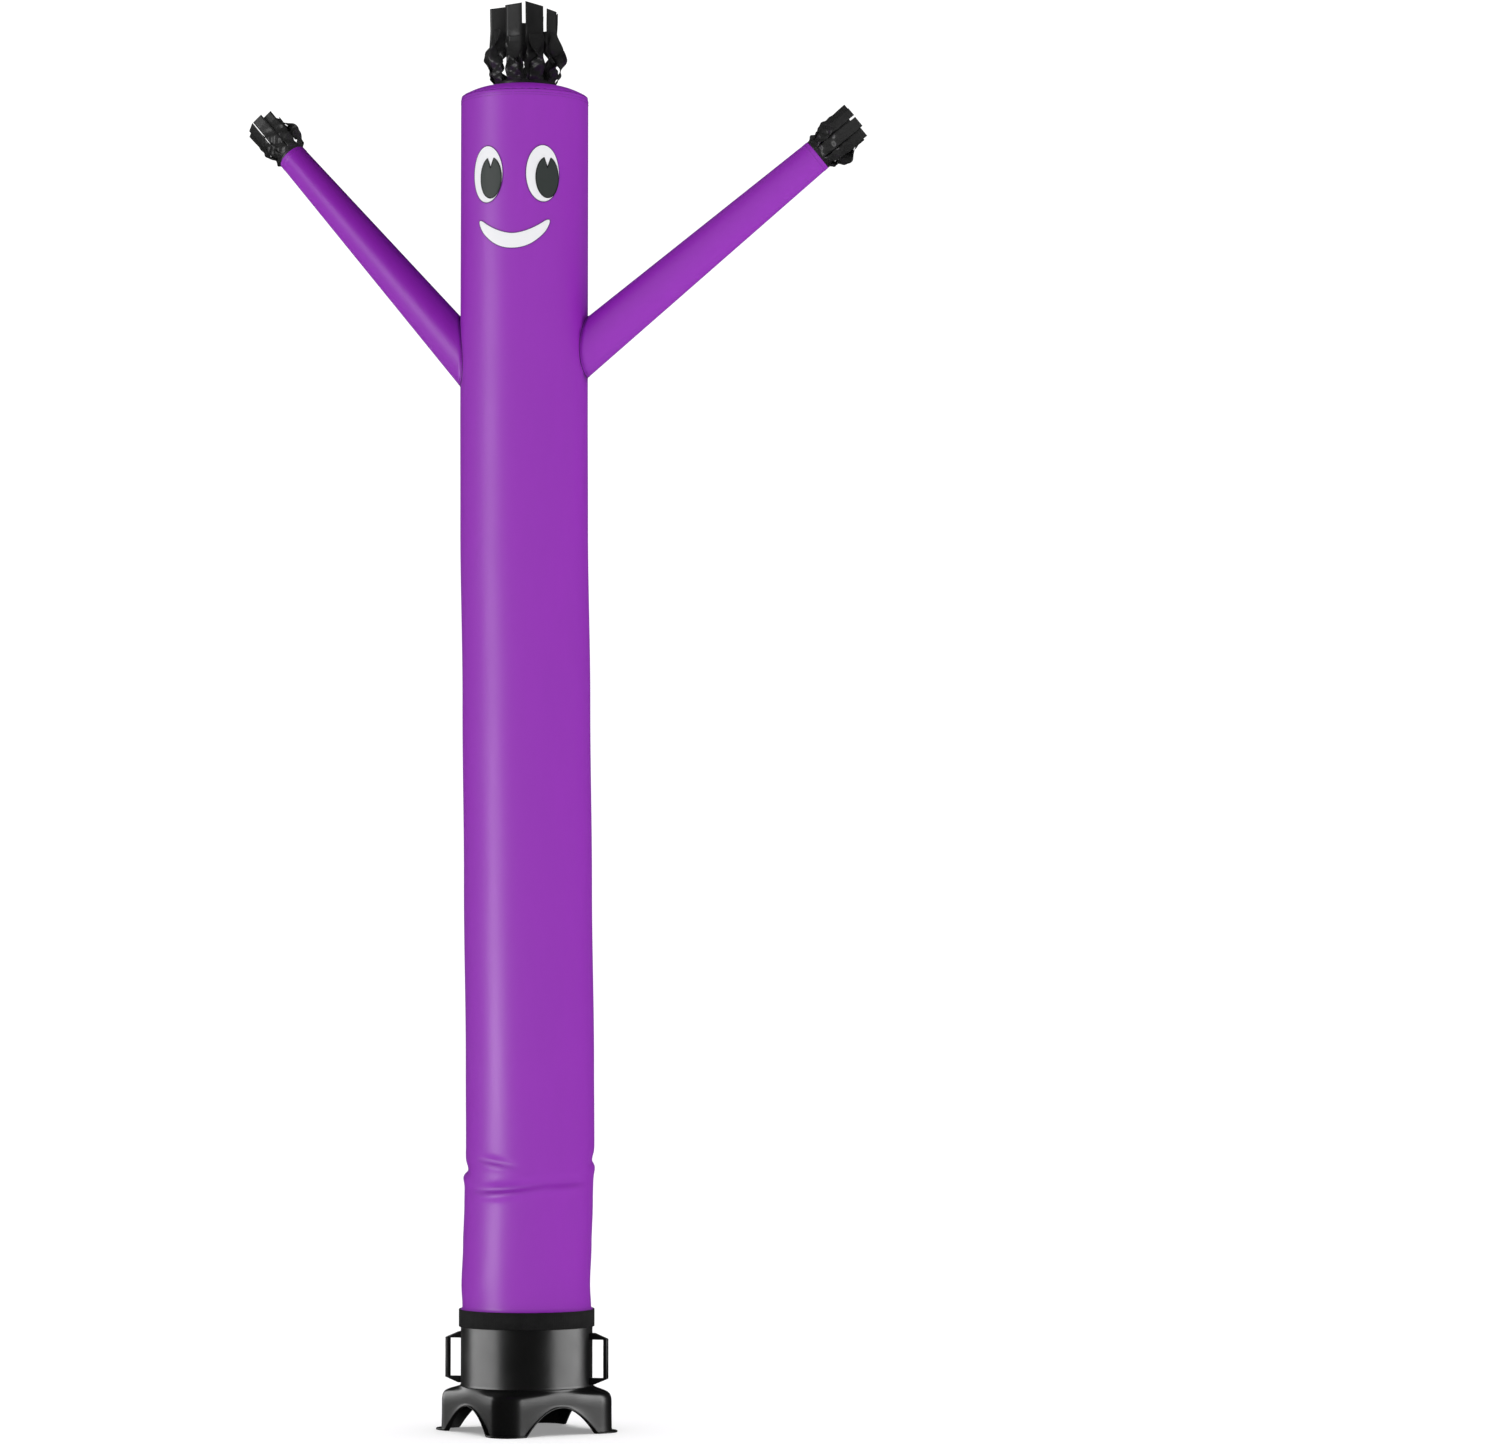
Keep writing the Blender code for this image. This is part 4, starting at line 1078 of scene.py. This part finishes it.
def softbox(box, lit):
    lamp = addLight(box["name"], "AREA", box["power"], lit)
    lamp.data.shape = "RECTANGLE"
    lamp.data.size, lamp.data.size_y = box["wide"], box["tall"]
    azimuth = camera["azimuth"] + box["turn"]
    place = axisPlace @ Matrix.Translation(around(azimuth, box["distance"], box["height"]))
    turn, tilt = Matrix.Rotation(radians(azimuth), 4, "Z"), Matrix.Rotation(radians(90 + box["tilt"]), 4, "X")
    lamp.matrix_world = place @ turn @ tilt
    lamp.visible_diffuse = False  # it only shows as a highlight


def makeFloor():
    corners = [(-0.5, -0.5, 0), (0.5, -0.5, 0), (0.5, 0.5, 0), (-0.5, 0.5, 0)]
    floor = meshPiece("floor", corners, [(0, 1, 2, 3)], "white",
                      Matrix.Diagonal((studio["floor"], studio["floor"], 1, 1)))
    pale = Finish("paleFloor", (0.93, 0.93, 0.93), 0.9)
    pale.shader.inputs["Specular IOR Level"].default_value = 0.1
    shade = noise(pale.tree, pale.position, 30.0, detail=3.0, roughness=0.6)
    clean = pale.mixed(shade, (0.92, 0.92, 0.92, 1), (0.94, 0.94, 0.94, 1))
    glossy = addNode(pale.tree, "LightPath", {}).outputs["Is Glossy Ray"]
    pale.colour(pale.mixed(glossy, clean, (0.02, 0.02, 0.02, 1)))  # gloss on the blower stays dark
    floor.data.materials.clear()
    floor.data.materials.append(pale.material)
    floor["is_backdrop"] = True
    fillLight("floorSoft", 0, 90, studio["floorSoft"], 80, [floor])
    fillLight("floorPlain", 0, 90, studio["floorPlain"], 80, [floor], False)


def makeWorld():  # the camera sees a plain backdrop, the cloth bright walls
    world = bpy.data.worlds.new("studio")
    bpy.context.scene.world = world
    world.use_nodes = True
    tree = world.node_tree
    shader = tree.nodes["Background"]
    shader.inputs["Color"].default_value = (1, 1, 1, 1)
    generated = addNode(tree, "TexCoord", {}).outputs["Generated"]
    upward = addNode(tree, "SeparateXYZ", {0: generated}).outputs[2]
    walls = mapRange(tree, upward, studio["fadeFrom"], studio["fadeTo"], studio["sides"], studio["ceiling"],
                     interpolation_type="SMOOTHSTEP")
    path = addNode(tree, "LightPath", {}).outputs
    seen, glossy = path["Is Camera Ray"], path["Is Glossy Ray"]
    other = calc(tree, "SUBTRACT", calc(tree, "SUBTRACT", 1.0, seen), glossy)
    strength = calc(tree, "MULTIPLY_ADD", seen, studio["backdrop"], times(tree, other, walls))
    give(tree, shader.inputs["Strength"], calc(tree, "MULTIPLY_ADD", glossy, studio["gloss"], strength))
    bpy.context.scene.view_settings.view_transform = "Standard"
    bpy.context.scene.view_settings.look = "None"


def lightPieces():
    pieces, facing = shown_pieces(), camera["azimuth"]
    hard = [finishes[key].name for key in ("plastic", "tape")]
    blowerThings = [o for o in pieces if any(name in o.data.materials for name in hard)]
    clothThings = [o for o in pieces if o not in blowerThings]
    leftArm = [o for o in clothThings
               if o.name in ("armClothLeft", "armSeamLeft", "armStitchesLeft", "handStitchesLeft")]
    standThings = [o for o in blowerThings if o.name == "footedStand"]
    drumThings = [o for o in blowerThings if o not in standThings]
    for number, turn in enumerate((0, 120, 240)):
        fillLight("clothFill" + str(number + 1), facing + turn, 0, studio["cloth"], 120,
                  [o for o in pieces if o not in leftArm])
    for number, turn in enumerate((-25, -155)):
        fillLight("armFill" + str(number + 1), facing + turn, 0, studio["arm"], 30, leftArm)
    fillLight("headFill", facing, 60, studio["head"], 60, [o for o in clothThings if o.name == "headPanel"])
    reached = dict(stripLight=clothThings, stripLow=clothThings, sideLeft=drumThings, sideRight=drumThings,
                   standLeft=standThings, standRight=standThings, overhead=blowerThings)
    for box in boxTable:
        softbox(box, reached[box["name"]])


makeFloor()
makeWorld()
lightPieces()
print("studio lit")
